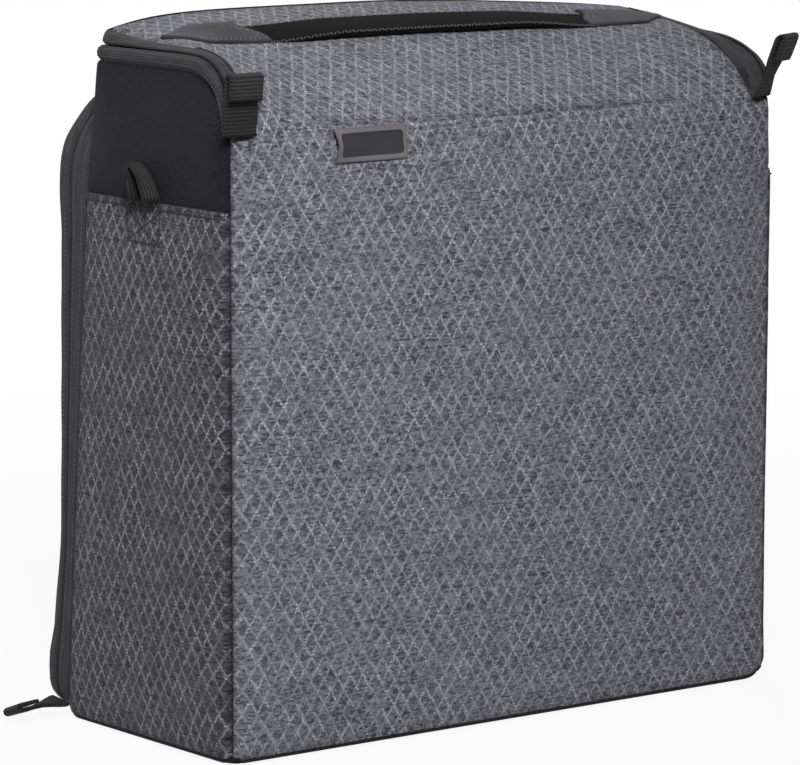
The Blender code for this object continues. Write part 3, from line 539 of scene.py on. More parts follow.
def thread(name, tint):
    yarn = Finish(name)
    place = yarn.object_place()
    twist = yarn.grain(place, 2600.0, 2.0, 0.7)
    tone = yarn.mix(twist, dimmed(tint, 0.6), tint)
    return yarn.finish(tone, 0.65, twist, 0.0001, 0.6)


def dark_metal(name):
    metal = Finish(name)
    place = metal.object_place()
    cast = metal.grain(place, 700.0, 3.0, 0.6)
    worn = metal.grain(place, 120.0, 3.0, 0.6)
    tone = metal.mix(worn.step(0.55, 0.75), colour(46, 46, 48), colour(120, 120, 124))
    rough = cast * 0.25 + 0.28
    return metal.finish(tone, rough, cast, 0.00006, 0.5, Metallic=0.9)


def nylon(name):
    coil = Finish(name)
    place = coil.object_place()
    mottle = coil.grain(place, 900.0, 2.0)
    tone = coil.mix(mottle, colour(20, 20, 22), colour(40, 40, 43))
    return coil.finish(tone, 0.38, mottle, 0.00004, 0.4)


front_canvas = grid_canvas("front_canvas", 1.0, 0.80, 0.95)
# Painted shade: the side walls get a darker copy of the front's canvas, with dimmer bright
# threads, for the shade on walls that face away from the key lamp.
shaded_side_canvas = grid_canvas("shaded_side_canvas", 0.45, 0.95, 0.72)
black_softshell = softshell("black_softshell")
zip_tape_cloth = ribbed_tape("zip_tape_cloth")
strap_webbing = webbing("strap_webbing", 26, 1.0, 0.4, 0.04)
tab_webbing = webbing("tab_webbing", 42, 1.5)
pull_cloth = webbing("pull_cloth", 38, 1.1)
charcoal_leather = leather("charcoal_leather")
inner_lining = brushed_lining("inner_lining")
divider_cloth = brushed_lining("divider_cloth", 96, 134)
black_thread = thread("black_thread", colour(9, 9, 10))
slider_metal = dark_metal("slider_metal")
coil_nylon = nylon("coil_nylon")
print("materials", len(bpy.data.materials))

# %% [markdown]
# ## Padded panels
# A padded panel is two layers of cloth sewn round a sheet of foam. The foam lifts the
# cloth in the middle, and the seam pulls it in at the edge. A bevelled box would give
# straight, even edges. Each panel here is a grid laid on the CAD face instead, with its
# edges rolled in to the seam and a second grid for its inner layer, so it can swell and
# ripple later.

# %% Grids with rolled edges
def fine_to_coarse(length, step, edges=(0.0, 0.35, 0.9, 1.7, 2.7, 4.2, 6.5)):
    """Places along a length: close together near both ends, then an even step apart."""
    near = [edge * mm for edge in edges if edge * mm < length / 2.2]
    last = near[-1]
    middle = length - 2 * last
    count = max(int(math.ceil(middle / step)), 1)
    inner = [last + middle * index / count for index in range(count + 1)]
    places = near[:-1] + inner + [length - edge for edge in reversed(near[:-1])]
    return [place / length for place in places]


def even(count):
    """Shares from 0 to 1 in even steps."""
    return [index / count for index in range(count + 1)]


def roll_in(distance, radius):
    """How far a rolled edge of this radius has sunk at a distance from its seam."""
    if radius <= 0 or distance >= radius:
        return 0.0
    return radius - math.sqrt(max(radius ** 2 - (radius - distance) ** 2, 0.0))


def outward_ways(base, out, looped):
    """The way out of the cloth at each point of a grid."""
    columns, rows = len(base), len(base[0])
    normals = []
    for i in range(columns):
        line = []
        for j in range(rows):
            if looped:
                before, after = base[(i - 1) % columns][j], base[(i + 1) % columns][j]
            else:
                before, after = base[max(i - 1, 0)][j], base[min(i + 1, columns - 1)][j]
            low, high = base[i][max(j - 1, 0)], base[i][min(j + 1, rows - 1)]
            normal = (after - before).cross(high - low).normalized()
            facing = out(base[i][j]) if callable(out) else Vector(out)
            line.append(-normal if normal.dot(facing) < 0 else normal)
        normals.append(line)
    return normals


def cloth_runs(base):
    """Lengths of cloth from the first column and from the first row to each point."""
    columns, rows = len(base), len(base[0])
    run_u = [[0.0] * rows for _ in range(columns)]
    run_v = [[0.0] * rows for _ in range(columns)]
    for i in range(columns):
        for j in range(rows):
            if i:
                run_u[i][j] = run_u[i - 1][j] + (base[i][j] - base[i - 1][j]).length
            if j:
                run_v[i][j] = run_v[i][j - 1] + (base[i][j] - base[i][j - 1]).length
    return run_u, run_v


def lay_flat(bm, flat, span):
    """Give each corner its flat cloth place; span is the girth of a looped grid, or 0."""
    uv_layer = bm.loops.layers.uv.new("weave")
    for face in bm.faces:
        for loop in face.loops:
            loop[uv_layer].uv = flat[loop.vert]
        values = [loop[uv_layer].uv.x for loop in face.loops]
        if span and max(values) - min(values) > span / 2:
            for loop in face.loops:
                if loop[uv_layer].uv.x < span / 2:
                    loop[uv_layer].uv.x += span


# %% A padded grid
sewn_reach = 1.6 * mm
free_reach = 4.8 * mm


def padded_grid(name, place_at, us, vs, out, thickness, rolls, cloth,
                puff=0.0, puff_reach=0.02, ripple=0.0, ripple_scale=30.0,
                cloth_at=None, looped=False, edge_reach=2.2):
    """A closed panel laid on place_at(u, v).

    out is the side it faces; rolls are the seam radii at the left, right, low and high
    edges; cloth_at gives flat cloth coordinates, or the grid's own lengths are used.
    """
    columns, rows = len(us), len(vs)
    base = [[place_at(u, v) for v in vs] for u in us]
    normals = outward_ways(base, out, looped)
    run_u, run_v = cloth_runs(base)
    bm = bmesh.new()
    edge_layer = bm.verts.layers.float.new("edge")
    sewn_layer = bm.verts.layers.float.new("sewn")
    outer, inner, flat = [], [], {}
    for i in range(columns):
        outer_line, inner_line = [], []
        for j in range(rows):
            ways = [run_v[i][j], run_v[i][-1] - run_v[i][j]]
            drop = roll_in(ways[0], rolls[2]) + roll_in(ways[1], rolls[3])
            if not looped:
                sides = [run_u[i][j], run_u[-1][j] - run_u[i][j]]
                drop += roll_in(sides[0], rolls[0]) + roll_in(sides[1], rolls[1])
                ways += sides
            drop = min(drop, thickness * 0.85)
            nearest = min(ways)
            share = min(nearest / puff_reach, 1.0)
            lift = puff * math.sin(share * math.pi / 2) - drop
            point = base[i][j]
            if ripple:
                fine = noise.noise(point * ripple_scale * 2.3)
                wave = noise.noise(point * ripple_scale) + 0.5 * fine
                lift += ripple * wave * min(nearest / (6 * mm), 1.0)
            top = bm.verts.new(point + normals[i][j] * lift)
            under = bm.verts.new(point - normals[i][j] * thickness)
            # The edge value grows towards the seams and the materials paint shade by it; the
            # inner layer gets a fixed 0.6 of it.
            top[edge_layer] = math.exp(-nearest / (edge_reach * mm))
            under[edge_layer] = 0.6
            freed = (nearest - sewn_reach) / (free_reach - sewn_reach)
            top[sewn_layer] = 1.0 - min(max(freed, 0.0), 1.0)
            under[sewn_layer] = 1.0
            spot = cloth_at(us[i], vs[j], point) if cloth_at else (run_u[i][j], run_v[i][j])
            flat[top] = spot
            flat[under] = (spot[0], spot[1] + 0.7 * mm)
            outer_line.append(top)
            inner_line.append(under)
        outer.append(outer_line)
        inner.append(inner_line)
    faces = []
    steps = columns if looped else columns - 1
    for i in range(steps):
        n = (i + 1) % columns
        for j in range(rows - 1):
            faces.append((outer[i][j], outer[n][j], outer[n][j + 1], outer[i][j + 1]))
            faces.append((inner[i][j], inner[i][j + 1], inner[n][j + 1], inner[n][j]))
        faces.append((outer[i][0], inner[i][0], inner[n][0], outer[n][0]))
        faces.append((outer[i][-1], outer[n][-1], inner[n][-1], inner[i][-1]))
    if not looped:
        for j in range(rows - 1):
            faces.append((outer[0][j], outer[0][j + 1], inner[0][j + 1], inner[0][j]))
            faces.append((outer[-1][j], inner[-1][j], inner[-1][j + 1], outer[-1][j + 1]))
    for corners in faces:
        bm.faces.new(corners).smooth = True
    lay_flat(bm, flat, max(run_u[-1]) if looped else 0.0)
    bmesh.ops.recalc_face_normals(bm, faces=bm.faces)
    return from_faces(name, bm, cloth)


def soften(item, levels=1):
    """One subdivision, with the same levels in the render."""
    rounding = item.modifiers.new("rounding", "SUBSURF")
    rounding.levels = levels
    rounding.render_levels = levels
    return item


padded_pieces = []


def wear(item, body, slot, *nodes, fill=None, swells=0.0):
    """Dress a body: the piece rides on it and stands for its CAD nodes."""
    if swells:
        padded_pieces.append((item, swells))
    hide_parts(*nodes)
    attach(item, body)
    return item


print("helpers ready")

# %% [markdown]
# ## The body's panels
# The front, the sides and the base meet at rounded corners, where a deep narrow seam
# runs. The side has a gray lower panel and a black softshell yoke above its hem. The
# corner is a rule for how far a wall has drawn in at a distance from its edge, and every
# panel asks that same rule, so two neighbours always meet in one seam.

# %% Sizes that the panels share with the CAD
half_width = 145 * mm
front_y = -60 * mm
seam_height = 257.5 * mm
hem_height = 226 * mm
lean = 0.08
wall = 8 * mm
corner = 8 * mm
seam_turn = corner * (1 - math.cos(math.pi / 4))
foot = 4.5 * mm
foot_turn = foot * (1 - math.cos(math.pi / 4))


def back_y(height):
    return 60 * mm - lean * height


def round_drop(distance):
    """How far a corner of the body has drawn in at a distance from its edge."""
    return roll_in(distance, corner)


def ease(value, low, high):
    """A smooth ramp from 0 at low to 1 at high."""
    share = min(max((value - low) / (high - low), 0.0), 1.0)
    return share * share * (3 - 2 * share)


def fill_out(point):
    """The stuffed right side leans out a little past the plain wall, more so higher up."""
    share = ease(point.x, 137.5 * mm, 144 * mm) * (1 - ease(point.y, 20 * mm, 60 * mm))
    share *= 0.6 + 0.4 * min(point.z / (250 * mm), 1.0)
    near = max(half_width - abs(point.x), point.y - front_y) - seam_turn
    radius = 9.5 * mm if point.x > 0 else 4 * mm
    lift = roll_in(max(near, 0.0), radius) * 0.8 * (1 - ease(point.z, 0.0, 32 * mm))
    return Vector((point.x + 3.4 * mm * share, point.y, point.z + lift))


# %% Front panel
def front_place(u, v):
    x = (2 * u - 1) * (half_width - seam_turn)
    z = foot_turn + v * (seam_height - foot_turn)
    y = front_y + round_drop(half_width - abs(x)) + roll_in(z, foot)
    return fill_out(Vector((x, y, z)))


def by_x_and_z(u, v, point):
    return (point.x, point.z)


def make_front():
    us = fine_to_coarse(2 * (half_width - seam_turn), 4.2 * mm)
    vs = fine_to_coarse(seam_height - foot_turn, 4.2 * mm)
    front = padded_grid(
        "front_padding", front_place, us, vs, (0, -1, 0), wall - 0.4 * mm,
        (2.6 * mm, 2.6 * mm, 1.6 * mm, 5.0 * mm), front_canvas,
        puff=1.2 * mm, puff_reach=12 * mm, ripple=0.35 * mm, cloth_at=by_x_and_z,
    )
    return wear(
        soften(front), "tub", "gray_shell", "front_panel", fill=0.7, swells=1.1 * mm
    )


front = make_front()
print("front", len(front.data.polygons), "faces")


# %% Side panels and yokes
def side_place(side, low, high, back_inset=0.0, sunk=0.0):
    def place(u, v):
        z = low + v * (high - low)
        rear = back_y(z) - round_drop(z) - back_inset
        y = front_y + seam_turn + u * (rear - front_y - seam_turn)
        x = half_width - round_drop(y - front_y) - roll_in(z, foot) - sunk
        return fill_out(Vector((side * x, y, z)))
    return place


def make_side(side, hand):
    low, high = foot_turn, hem_height
    us = fine_to_coarse(114 * mm, 4.2 * mm)
    vs = fine_to_coarse(high - low, 4.2 * mm)
    panel = padded_grid(
        "side_padding_" + hand, side_place(side, low, high, 0.4 * mm), us, vs, (side, 0, 0),
        wall - 0.4 * mm, (2.8 * mm, 1.6 * mm, 1.8 * mm, 0.6 * mm), shaded_side_canvas,
        puff=1.5 * mm, puff_reach=12 * mm, ripple=0.4 * mm,
        cloth_at=lambda u, v, point: (point.y, point.z),
    )
    return wear(
        soften(panel), "tub", "dark_gray_shell", "side_panel_" + hand,
        fill=0.7, swells=1.8 * mm,
    )


# %% Profiles of the lid, the zip and the yoke
lid_bottom = 257.8 * mm
lid_crown_height = 301 * mm
lid_rise = lid_crown_height - lid_bottom
lid_half_width = 136.5 * mm
crown_shares = [
    (0.000, 0.000), (0.04, 0.048), (0.09, 0.109), (0.15, 0.181), (0.22, 0.266), (0.32, 0.387),
    (0.44, 0.532), (0.57, 0.678), (0.71, 0.787), (0.86, 0.869), (1.00, 0.920),
]
edge_shares = [
    (0.000, 0.00), (0.000, 0.16), (0.012, 0.33), (0.055, 0.50), (0.12, 0.62),
    (0.22, 0.70), (0.36, 0.735), (0.52, 0.745), (0.69, 0.76), (0.85, 0.79), (1.00, 0.84),
]
meeting_shares = [
    (0.030, 0.00), (0.030, 0.16), (0.033, 0.33), (0.070, 0.50), (0.14, 0.62),
    (0.23, 0.685), (0.36, 0.700), (0.50, 0.700), (0.64, 0.700), (0.77, 0.700), (0.90, 0.700),
]
yoke_shares = [
    (0.058, 0.00), (0.062, 0.12), (0.082, 0.27), (0.125, 0.40), (0.19, 0.49),
    (0.27, 0.538), (0.38, 0.549), (0.51, 0.549), (0.64, 0.549), (0.77, 0.549), (0.90, 0.549),
]
right_edge_shares = [
    (0.000, 0.00), (0.035, 0.03), (0.085, 0.155), (0.138, 0.275), (0.202, 0.380),
    (0.309, 0.510), (0.436, 0.605), (0.56, 0.662), (0.70, 0.705), (0.85, 0.745), (1.00, 0.785),
]
right_meeting_shares = [
    (0.008, 0.00), (0.026, 0.09), (0.070, 0.240), (0.128, 0.375), (0.213, 0.470),
    (0.320, 0.530), (0.430, 0.556), (0.540, 0.574), (0.650, 0.600), (0.770, 0.650), (0.90, 0.700),
]
right_yoke_shares = [
    (0.058, 0.00), (0.068, 0.04), (0.112, 0.14), (0.170, 0.255), (0.250, 0.340),
    (0.345, 0.395), (0.450, 0.425), (0.555, 0.445), (0.660, 0.475), (0.775, 0.515), (0.90, 0.549),
]
yoke_height = lid_bottom + lid_rise * yoke_shares[-1][1]
lid_back_height = lid_bottom + lid_rise * crown_shares[-1][1]
lid_back_y = back_y(lid_back_height) - 2.2 * mm
lid_depth = lid_back_y - front_y


def share_at(table, position):
    """A smooth curve through a table of shares, at a position from 0 to 1."""
    last = len(table) - 1
    place = min(max(position, 0.0), 1.0) * last
    index = min(int(place), last - 1)
    part = place - index
    rows = (table[max(index - 1, 0)], table[index], table[index + 1],
            table[min(index + 2, last)])
    values = []
    for a, b, c, d in zip(*rows):
        bend = (c - a) * part + (2 * a - 5 * b + 4 * c - d) * part ** 2
        values.append(b + (bend + (3 * b - a - 3 * c + d) * part ** 3) / 2)
    return values


def rail_place(shares, position):
    deep, high = share_at(shares, position)
    return (front_y + lid_depth * deep, lid_bottom + lid_rise * high)


def between(a, b, share):
    return a + (b - a) * share


def make_yoke(side, hand):
    """Softshell between the hem and the zip: a patch stretched between four curves."""
    low = hem_height - 1.2 * mm
    start = front_y + seam_turn

    def bottom(u):
        return (between(start, back_y(low), u), low)

    def top(u):
        y, z = rail_place(right_yoke_shares if side > 0 else yoke_shares, u)
        if u > 0.98:
            y = between(y, back_y(yoke_height) - 0.4 * mm, (u - 0.98) / 0.02)
        return (y, z - 0.3 * mm)

    def front_edge(v):
        z = between(low, lid_bottom, v)
        return (between(start, top(0)[0], max(v - 0.85, 0) / 0.15), z)

    def back_edge(v):
        z = between(low, yoke_height - 0.3 * mm, v)
        return (back_y(z) - 0.4 * mm, z)

    corners = [bottom(0), bottom(1), top(0), top(1)]

    def place(u, v):
        spot = []
        for axis in (0, 1):
            ruled = between(bottom(u)[axis], top(u)[axis], v)
            crossed = between(front_edge(v)[axis], back_edge(v)[axis], u)
            flat = between(
                between(corners[0][axis], corners[1][axis], u),
                between(corners[2][axis], corners[3][axis], u), v,
            )
            spot.append(ruled + crossed - flat)
        y, z = spot
        x = half_width - 0.9 * mm - round_drop(y - front_y)
        x -= 0.9 * mm * max(z - hem_height, 0) / (yoke_height - hem_height)
        return fill_out(Vector((side * x, y, z)))

    us = fine_to_coarse(100 * mm, 4.2 * mm)
    vs = fine_to_coarse(56 * mm, 3.6 * mm)
    yoke = padded_grid(
        "yoke_padding_" + hand, place, us, vs, (side, 0, 0), wall - 1.6 * mm,
        (2.4 * mm, 1.6 * mm, 0.8 * mm, 1.8 * mm), black_softshell,
        puff=3.0 * mm, puff_reach=26 * mm, ripple=0.5 * mm,
        cloth_at=lambda u, v, point: (point.y, point.z),
    )
    return wear(
        soften(yoke), "tub", "softshell", "side_yoke_" + hand, fill=0.6, swells=2.0 * mm
    )


for side, hand in hands:
    make_side(side, hand)
    made = make_yoke(side, hand)
    print("side and yoke", hand, len(made.data.polygons))


# %% Base
base_flat = 52 * mm


def base_place(u, v):
    x = (2 * u - 1) * (half_width - foot_turn)
    start = front_y + foot_turn
    run = start + v * (base_flat + corner * math.pi / 2 - start)
    if run <= base_flat:
        y, z = run, roll_in(run - front_y, foot)
    else:
        turn = (run - base_flat) / corner
        y, z = base_flat + corner * math.sin(turn), corner * (1 - math.cos(turn))
        y -= lean * z
    corner_in = round_drop(y - front_y) * ease(abs(x), 128 * mm, half_width)
    x -= math.copysign(corner_in, x)
    return fill_out(Vector((x, y, z + roll_in(half_width - abs(x) - corner_in, foot))))


def make_base():
    us = fine_to_coarse(285 * mm, 7 * mm)
    vs = fine_to_coarse(122 * mm, 5 * mm)
    base = padded_grid(
        "base_padding", base_place, us, vs,
        lambda point: (0, 0.7, -0.7) if point.y > 55 * mm else (0, 0, -1),
        wall - 0.8 * mm, (1.6 * mm, 1.6 * mm, 1.6 * mm, 1.0 * mm), black_softshell,
        cloth_at=lambda u, v, point: (point.x, point.y),
    )
    return wear(soften(base), "tub", "softshell", "bottom_panel", fill=0.5)


make_base()


# %% [markdown]
# ## The lid
# The lid is one padded panel that curves up from the front seam and over to the back. It
# is full on its left and slumps towards its right end, where the bag is packed less
# tightly. Two profiles, one along the middle and one along each side, are blended across
# its width, because a single swept curve can't slump at one end.

# %% Lid panel
def lid_point(u, v):
    """The lid's outer face: full on the left, slumped towards its right end."""
    across = 2 * u - 1
    crown = rail_place(crown_shares, v)
    edge = rail_place(right_edge_shares if across > 0 else edge_shares, v)
    share = 1 - abs(across) ** (2.3 if across > 0 else 7.0)
    overhang = 1.9 * mm * ease(-across, 0.94, 1.0)
    fullness = 2.1 * mm * ease(v, 0.5, 0.95) * ease(-across, -0.7, 0.1) * share
    return Vector((
        lid_half_width * across - overhang,
        between(edge[0], crown[0], share), between(edge[1], crown[1], share) + fullness,
    ))


run_steps = 200
lid_runs = [0.0]
for step in range(run_steps):
    piece = lid_point(0.5, (step + 1) / run_steps) - lid_point(0.5, step / run_steps)
    lid_runs.append(lid_runs[-1] + piece.length)


def lid_run(v):
    """Length of cloth from the front seam to a row of the lid, along its middle."""
    place = min(max(v, 0.0), 1.0) * run_steps
    index = min(int(place), run_steps - 1)
    return between(lid_runs[index], lid_runs[index + 1], place - index)


def lid_row(x, y):
    """How far up the lid, from 0 to 1, the place above (x, y) is."""
    u = (x / lid_half_width + 1) / 2
    low, high = 0.0, 1.0
    for _ in range(26):
        middle = (low + high) / 2
        if lid_point(u, middle).y < y:
            low = middle
        else:
            high = middle
    return low


def lid_surface(x, y, offset=0.0):
    """The point of the lid above (x, y), raised along the lid's own outward way."""
    u = (x / lid_half_width + 1) / 2
    row = lid_row(x, y)
    step = 0.01
    way_u = lid_point(min(u + step, 1.0), row) - lid_point(max(u - step, 0.0), row)
    way_v = lid_point(u, min(row + step, 1.0)) - lid_point(u, max(row - step, 0.0))
    return lid_point(u, row) + way_u.cross(way_v).normalized() * offset


def make_lid():
    us = fine_to_coarse(2 * lid_half_width, 4.2 * mm)
    vs = fine_to_coarse(lid_runs[-1], 3.8 * mm)
    lid = padded_grid(
        "lid_padding", lid_point, us, vs, lambda point: (0, -0.5, 1), 4.4 * mm,
        (3.6 * mm, 2.2 * mm, 4.5 * mm, 1.8 * mm), front_canvas,
        puff=0.8 * mm, puff_reach=14 * mm, ripple=0.4 * mm, edge_reach=2.6,
        cloth_at=lambda u, v, point: (point.x, seam_height + lid_run(v)),
    )
    return wear(
        soften(lid), "lid", "gray_shell", "lid_panel", fill=0.7, swells=3.0 * mm
    )


lid = make_lid()
print("lid", len(lid.data.polygons), "faces")

# %% [markdown]
# ## The zips
# The lid's zip wraps from one front corner round the back to the other. Its coil is on
# the inside, so only two tapes show, with a thin dark line where they meet. Each tape
# runs from its sewn edge to that line. The edges and the line are three rails with the
# same count of points, so a tape is a ruled strip between two of them.

# %% Rails of the lid's zip
rail_steps = 60
corner_steps = 14
back_steps = 30
tape_inset = 0.5 * mm
shoulder_inset = 2.4 * mm
side_share = 0.90
tape_thickness = 0.9 * mm


def wall_rail(shares, side_inset):
    points = []
    for step in range(rail_steps):
        y, z = rail_place(shares, step / rail_steps)
        rise = (z - lid_bottom) / (lid_rise * shares[-1][1])
        inset = between(tape_inset, side_inset, rise)
        points.append(Vector((-(half_width - round_drop(y - front_y)) + inset, y, z)))
    height = rail_place(shares, 1.0)[1]
    centre = (-half_width + corner, back_y(height) - corner)
    for step in range(corner_steps + 1):
        turn = math.pi / 2 * step / corner_steps
        inset = between(side_inset, tape_inset, step / corner_steps)
        reach = corner - inset
        points.append(Vector((
            centre[0] - reach * math.cos(turn), centre[1] + reach * math.sin(turn), height,
        )))
    end = points[-1]
    for step in range(1, back_steps + 1):
        points.append(Vector((end.x * (1 - step / back_steps), end.y, height)))
    return points


def lid_rail(side, shares):
    """The lid's edge as the upper tape meets it, from the front corner to the middle."""
    half = lid_half_width + 0.6 * mm
    start_x = half_width - corner
    rear = back_y(lid_back_height) - tape_inset
    points = []
    for step in range(rail_steps):
        y, z = rail_place(shares, side_share * step / rail_steps)
        points.append(Vector((side * half, y, z)))
    start = rail_place(shares, side_share)
    corner_z = lid_point((side * start_x / lid_half_width + 1) / 2, 1.0).z
    for step in range(corner_steps + 1):
        turn = step / corner_steps * math.pi / 2
        largest = max(math.cos(turn), math.sin(turn))
        out, reach = math.cos(turn) / largest, math.sin(turn) / largest
        points.append(Vector((
            side * between(start_x, half, out), between(start[0], rear, reach),
            between(start[1], corner_z, reach),
        )))
    end = points[-1]
    for step in range(1, back_steps + 1):
        x = end.x * (1 - step / back_steps)
        z = lid_point((x / lid_half_width + 1) / 2, 1.0).z
        points.append(Vector((x, end.y, z)))
    return points


def both_sides(points, others):
    """A rail from the left front round the back to the right front."""
    return [fill_out(p) for p in points] + [fill_out(p) for p in reversed(others[:-1])]


def mirrored(points):
    return [Vector((-p.x, p.y, p.z)) for p in points]


meeting_rail = both_sides(
    wall_rail(meeting_shares, shoulder_inset),
    mirrored(wall_rail(right_meeting_shares, 1.2 * mm)),
)
tub_rail = both_sides(
    wall_rail(yoke_shares, tape_inset), mirrored(wall_rail(right_yoke_shares, tape_inset))
)
lid_edge_rail = lid_rail(-1, edge_shares) + list(reversed(lid_rail(1, right_edge_shares)[:-1]))
print("rail points", len(meeting_rail))


# %% The lid zip's two tapes
def outward_from(way, along, meet):
    """The way across both of these that points away from the bag's middle."""
    out = along.cross(way)
    return -out if out.dot(Vector((meet.x, meet.y * 0.5, 0.12))) < 0 else out


def make_lid_tape(name, edge_rail, sign, trim, bow, node, body):
    """A tape from its sewn edge to the meeting line, bowed a little outwards."""
    last = len(meeting_rail) - 1
    shares = [0.0, 0.03, 0.10, 0.2, 0.32, 0.45, 0.6, 0.74, 0.86, 0.94, 1.0]

    def place(u, v):
        index = min(round(u * last), last)
        meet, edge = meeting_rail[index], edge_rail[index]
        other = tub_rail[index] if sign > 0 else lid_edge_rail[index]
        way = (edge - meet).normalized()
        fold = (way - (other - meet).normalized()).normalized()
        before = meeting_rail[max(index - 1, 0)]
        after = meeting_rail[min(index + 1, last)]
        along = (after - before).normalized()
        out = outward_from(way, along, meet)
        slump = ease(meet.x, 120 * mm, 135 * mm) * (1 - ease(meet.y, 10 * mm, 30 * mm))
        start = edge - way * (trim - 2.4 * mm * slump if sign > 0 else trim)
        end = meet + fold * 0.45 * mm
        if v == 0:  # the edge is sewn in under the cloth beside it
            return start + way * (2.2 if sign < 0 else 1.2) * mm - out * 2.6 * mm
        span = start.lerp(end, v)
        return span + out * bow * math.sin(math.pi * v)

    tape = padded_grid(
        name, place, even(last), shares, lambda p: (p.x, p.y * 0.6 + 0.02, 0.10),
        tape_thickness, (0, 0, 0.5 * mm, 0.8 * mm), zip_tape_cloth, edge_reach=0.6,
    )
    return wear(tape, body, "zip_tape", node)


lower_bow, upper_bow = 1.5 * mm, 0.8 * mm
make_lid_tape(
    "lower_zip_tape", tub_rail, -1, 0.4 * mm, lower_bow, "lid_zip_tub_tape", "tub"
)
make_lid_tape(
    "upper_zip_tape", lid_edge_rail, 1, 0.2 * mm, upper_bow, "lid_zip_lid_tape", "lid"
)


# %% [markdown]
# ## The back
# A boxed strip of tape, the gusset, stands on the back edge all the way round, and the
# door's zip closes on it. Packed foam pushes the strip out unevenly, so a table says how
# far the back stands off at each height. The gusset, the door and their stitches all
# read it, and none of them can drift from the others.

# %% Back frame and arch
lean_angle = math.atan(lean)
back_matrix = Matrix.Translation((0, 60 * mm, 0)) @ Matrix.Rotation(lean_angle, 4, "X")
arch_half = half_width - 1.5 * mm
arch_low = 3 * mm
arch_high = yoke_height / math.cos(lean_angle) - 4.4 * mm
arch_middle = 140 * mm
arch_radius = 48 * mm
arch_foot = 10 * mm

stand_off = [
    (0, 1.10), (22, 1.30), (40, 1.06), (75, 0.88), (110, 1.00), (144, 1.16), (178, 1.32),
    (202, 1.42), (226, 1.62), (243, 1.66), (258, 1.46), (275, 1.12), (300, 1.00),
]


def swollen(x, depth, z):
    """A place on the back: the zipped strip bulges and waves along the two sides."""
    for (low, first), (high, second) in zip(stand_off, stand_off[1:]):
        if z <= high * mm:
            break
    wave = between(first, second, ease(z, low * mm, high * mm))
    sides = ease(abs(x), 0.62 * arch_half, 0.97 * arch_half)
    return back_matrix @ Vector((x, depth * (1 + (wave - 1) * sides), z))


def arch_sides(inset, step=4 * mm):
    """Half widths of the arch and their heights, from the bottom up."""
    half, low, high = arch_half - inset, arch_low + inset, arch_high - inset
    small, large = max(arch_foot - inset, 1 * mm), arch_radius - inset
    quarter = math.pi / 2
    rows = [(half - small + small * math.sin(quarter * share),
             low + small - small * math.cos(quarter * share)) for share in even(6)]
    count = int((high - large - low - small) / step)
    for index in range(1, count):
        rows.append((half, between(low + small, high - large, index / count)))
    rows += [(half - large + large * math.cos(quarter * share),
              high - large + large * math.sin(quarter * share)) for share in even(20)]
    return rows


def arch_loop(inset):
    """The whole outline as one ring of points, clockwise from the bottom right."""
    right = arch_sides(inset, 6 * mm)
    (foot, low), (crown, high) = right[0], right[-1]
    top = [(crown - 2 * crown * share, high) for share in even(26)[1:-1]]
    left = [(-x, z) for x, z in reversed(right)]
    bottom = [(-foot + 2 * foot * share, low) for share in even(40)[1:-1]]
    return right + top + left + bottom


def away_from_middle(point):
    return (point.x, 0, point.z - arch_middle)


def make_hoop(name, low, high, rolls, node, body):
    """A strip of tape round the arch, between two depths behind the back."""
    ring = arch_loop(0)
    count = len(ring)

    def place(u, v):
        x, z = ring[round(u * count) % count]
        return swollen(x, between(low, high, v), z)

    hoop = padded_grid(
        name, place, [index / count for index in range(count)],
        [0.0, 0.07, 0.18, 0.35, 0.5, 0.65, 0.82, 0.93, 1.0], away_from_middle,
        tape_thickness, (0, 0, *rolls), zip_tape_cloth,
        puff=0.7 * mm, puff_reach=3 * mm, looped=True, edge_reach=0.7,
    )
    return wear(hoop, body, "zip_tape", node)


zip_depth = 8 * mm
zip_lap = 0.05 * mm
make_hoop("gusset_tape", -0.6 * mm, zip_depth + zip_lap, (0.5 * mm, 0.7 * mm),
          "back_zip_gusset", "tub")
make_hoop("door_tape", zip_depth - zip_lap, 13.4 * mm, (0.7 * mm, 0.4 * mm),
          "back_zip_door_tape", "back_door")


# %% Door panel
def make_door_panel(name, inset, outer_depth, thickness, facing, cloth, slot, node, puff, rolls,
                    swells, ripple=0.3 * mm):
    rows = arch_sides(inset)
    us = fine_to_coarse(2 * (arch_half - inset), 4.4 * mm)

    def place(u, v):
        half, z = rows[round(v * (len(rows) - 1))]
        return swollen((2 * u - 1) * half, outer_depth, z)

    panel = padded_grid(
        name, place, us, even(len(rows) - 1),
        (0, facing, 0), thickness, rolls, cloth, puff=puff, puff_reach=14 * mm,
        ripple=ripple, cloth_at=by_x_and_z,
    )
    return wear(soften(panel), "back_door", slot, node, fill=0.7, swells=swells)


make_door_panel(
    "door_padding", 0.8 * mm, 15.0 * mm, 3.8 * mm, 1, front_canvas, "gray_shell",
    "back_door_panel", 0.9 * mm, (1.8 * mm,) * 4, 2.0 * mm,
)
make_door_panel(
    "door_inner_pad", 7.2 * mm, 4.8 * mm, 6.0 * mm, -1, inner_lining, "lining",
    "back_door_lining", 0.0, (1.6 * mm,) * 4, 0.5 * mm, 0.2 * mm,
)


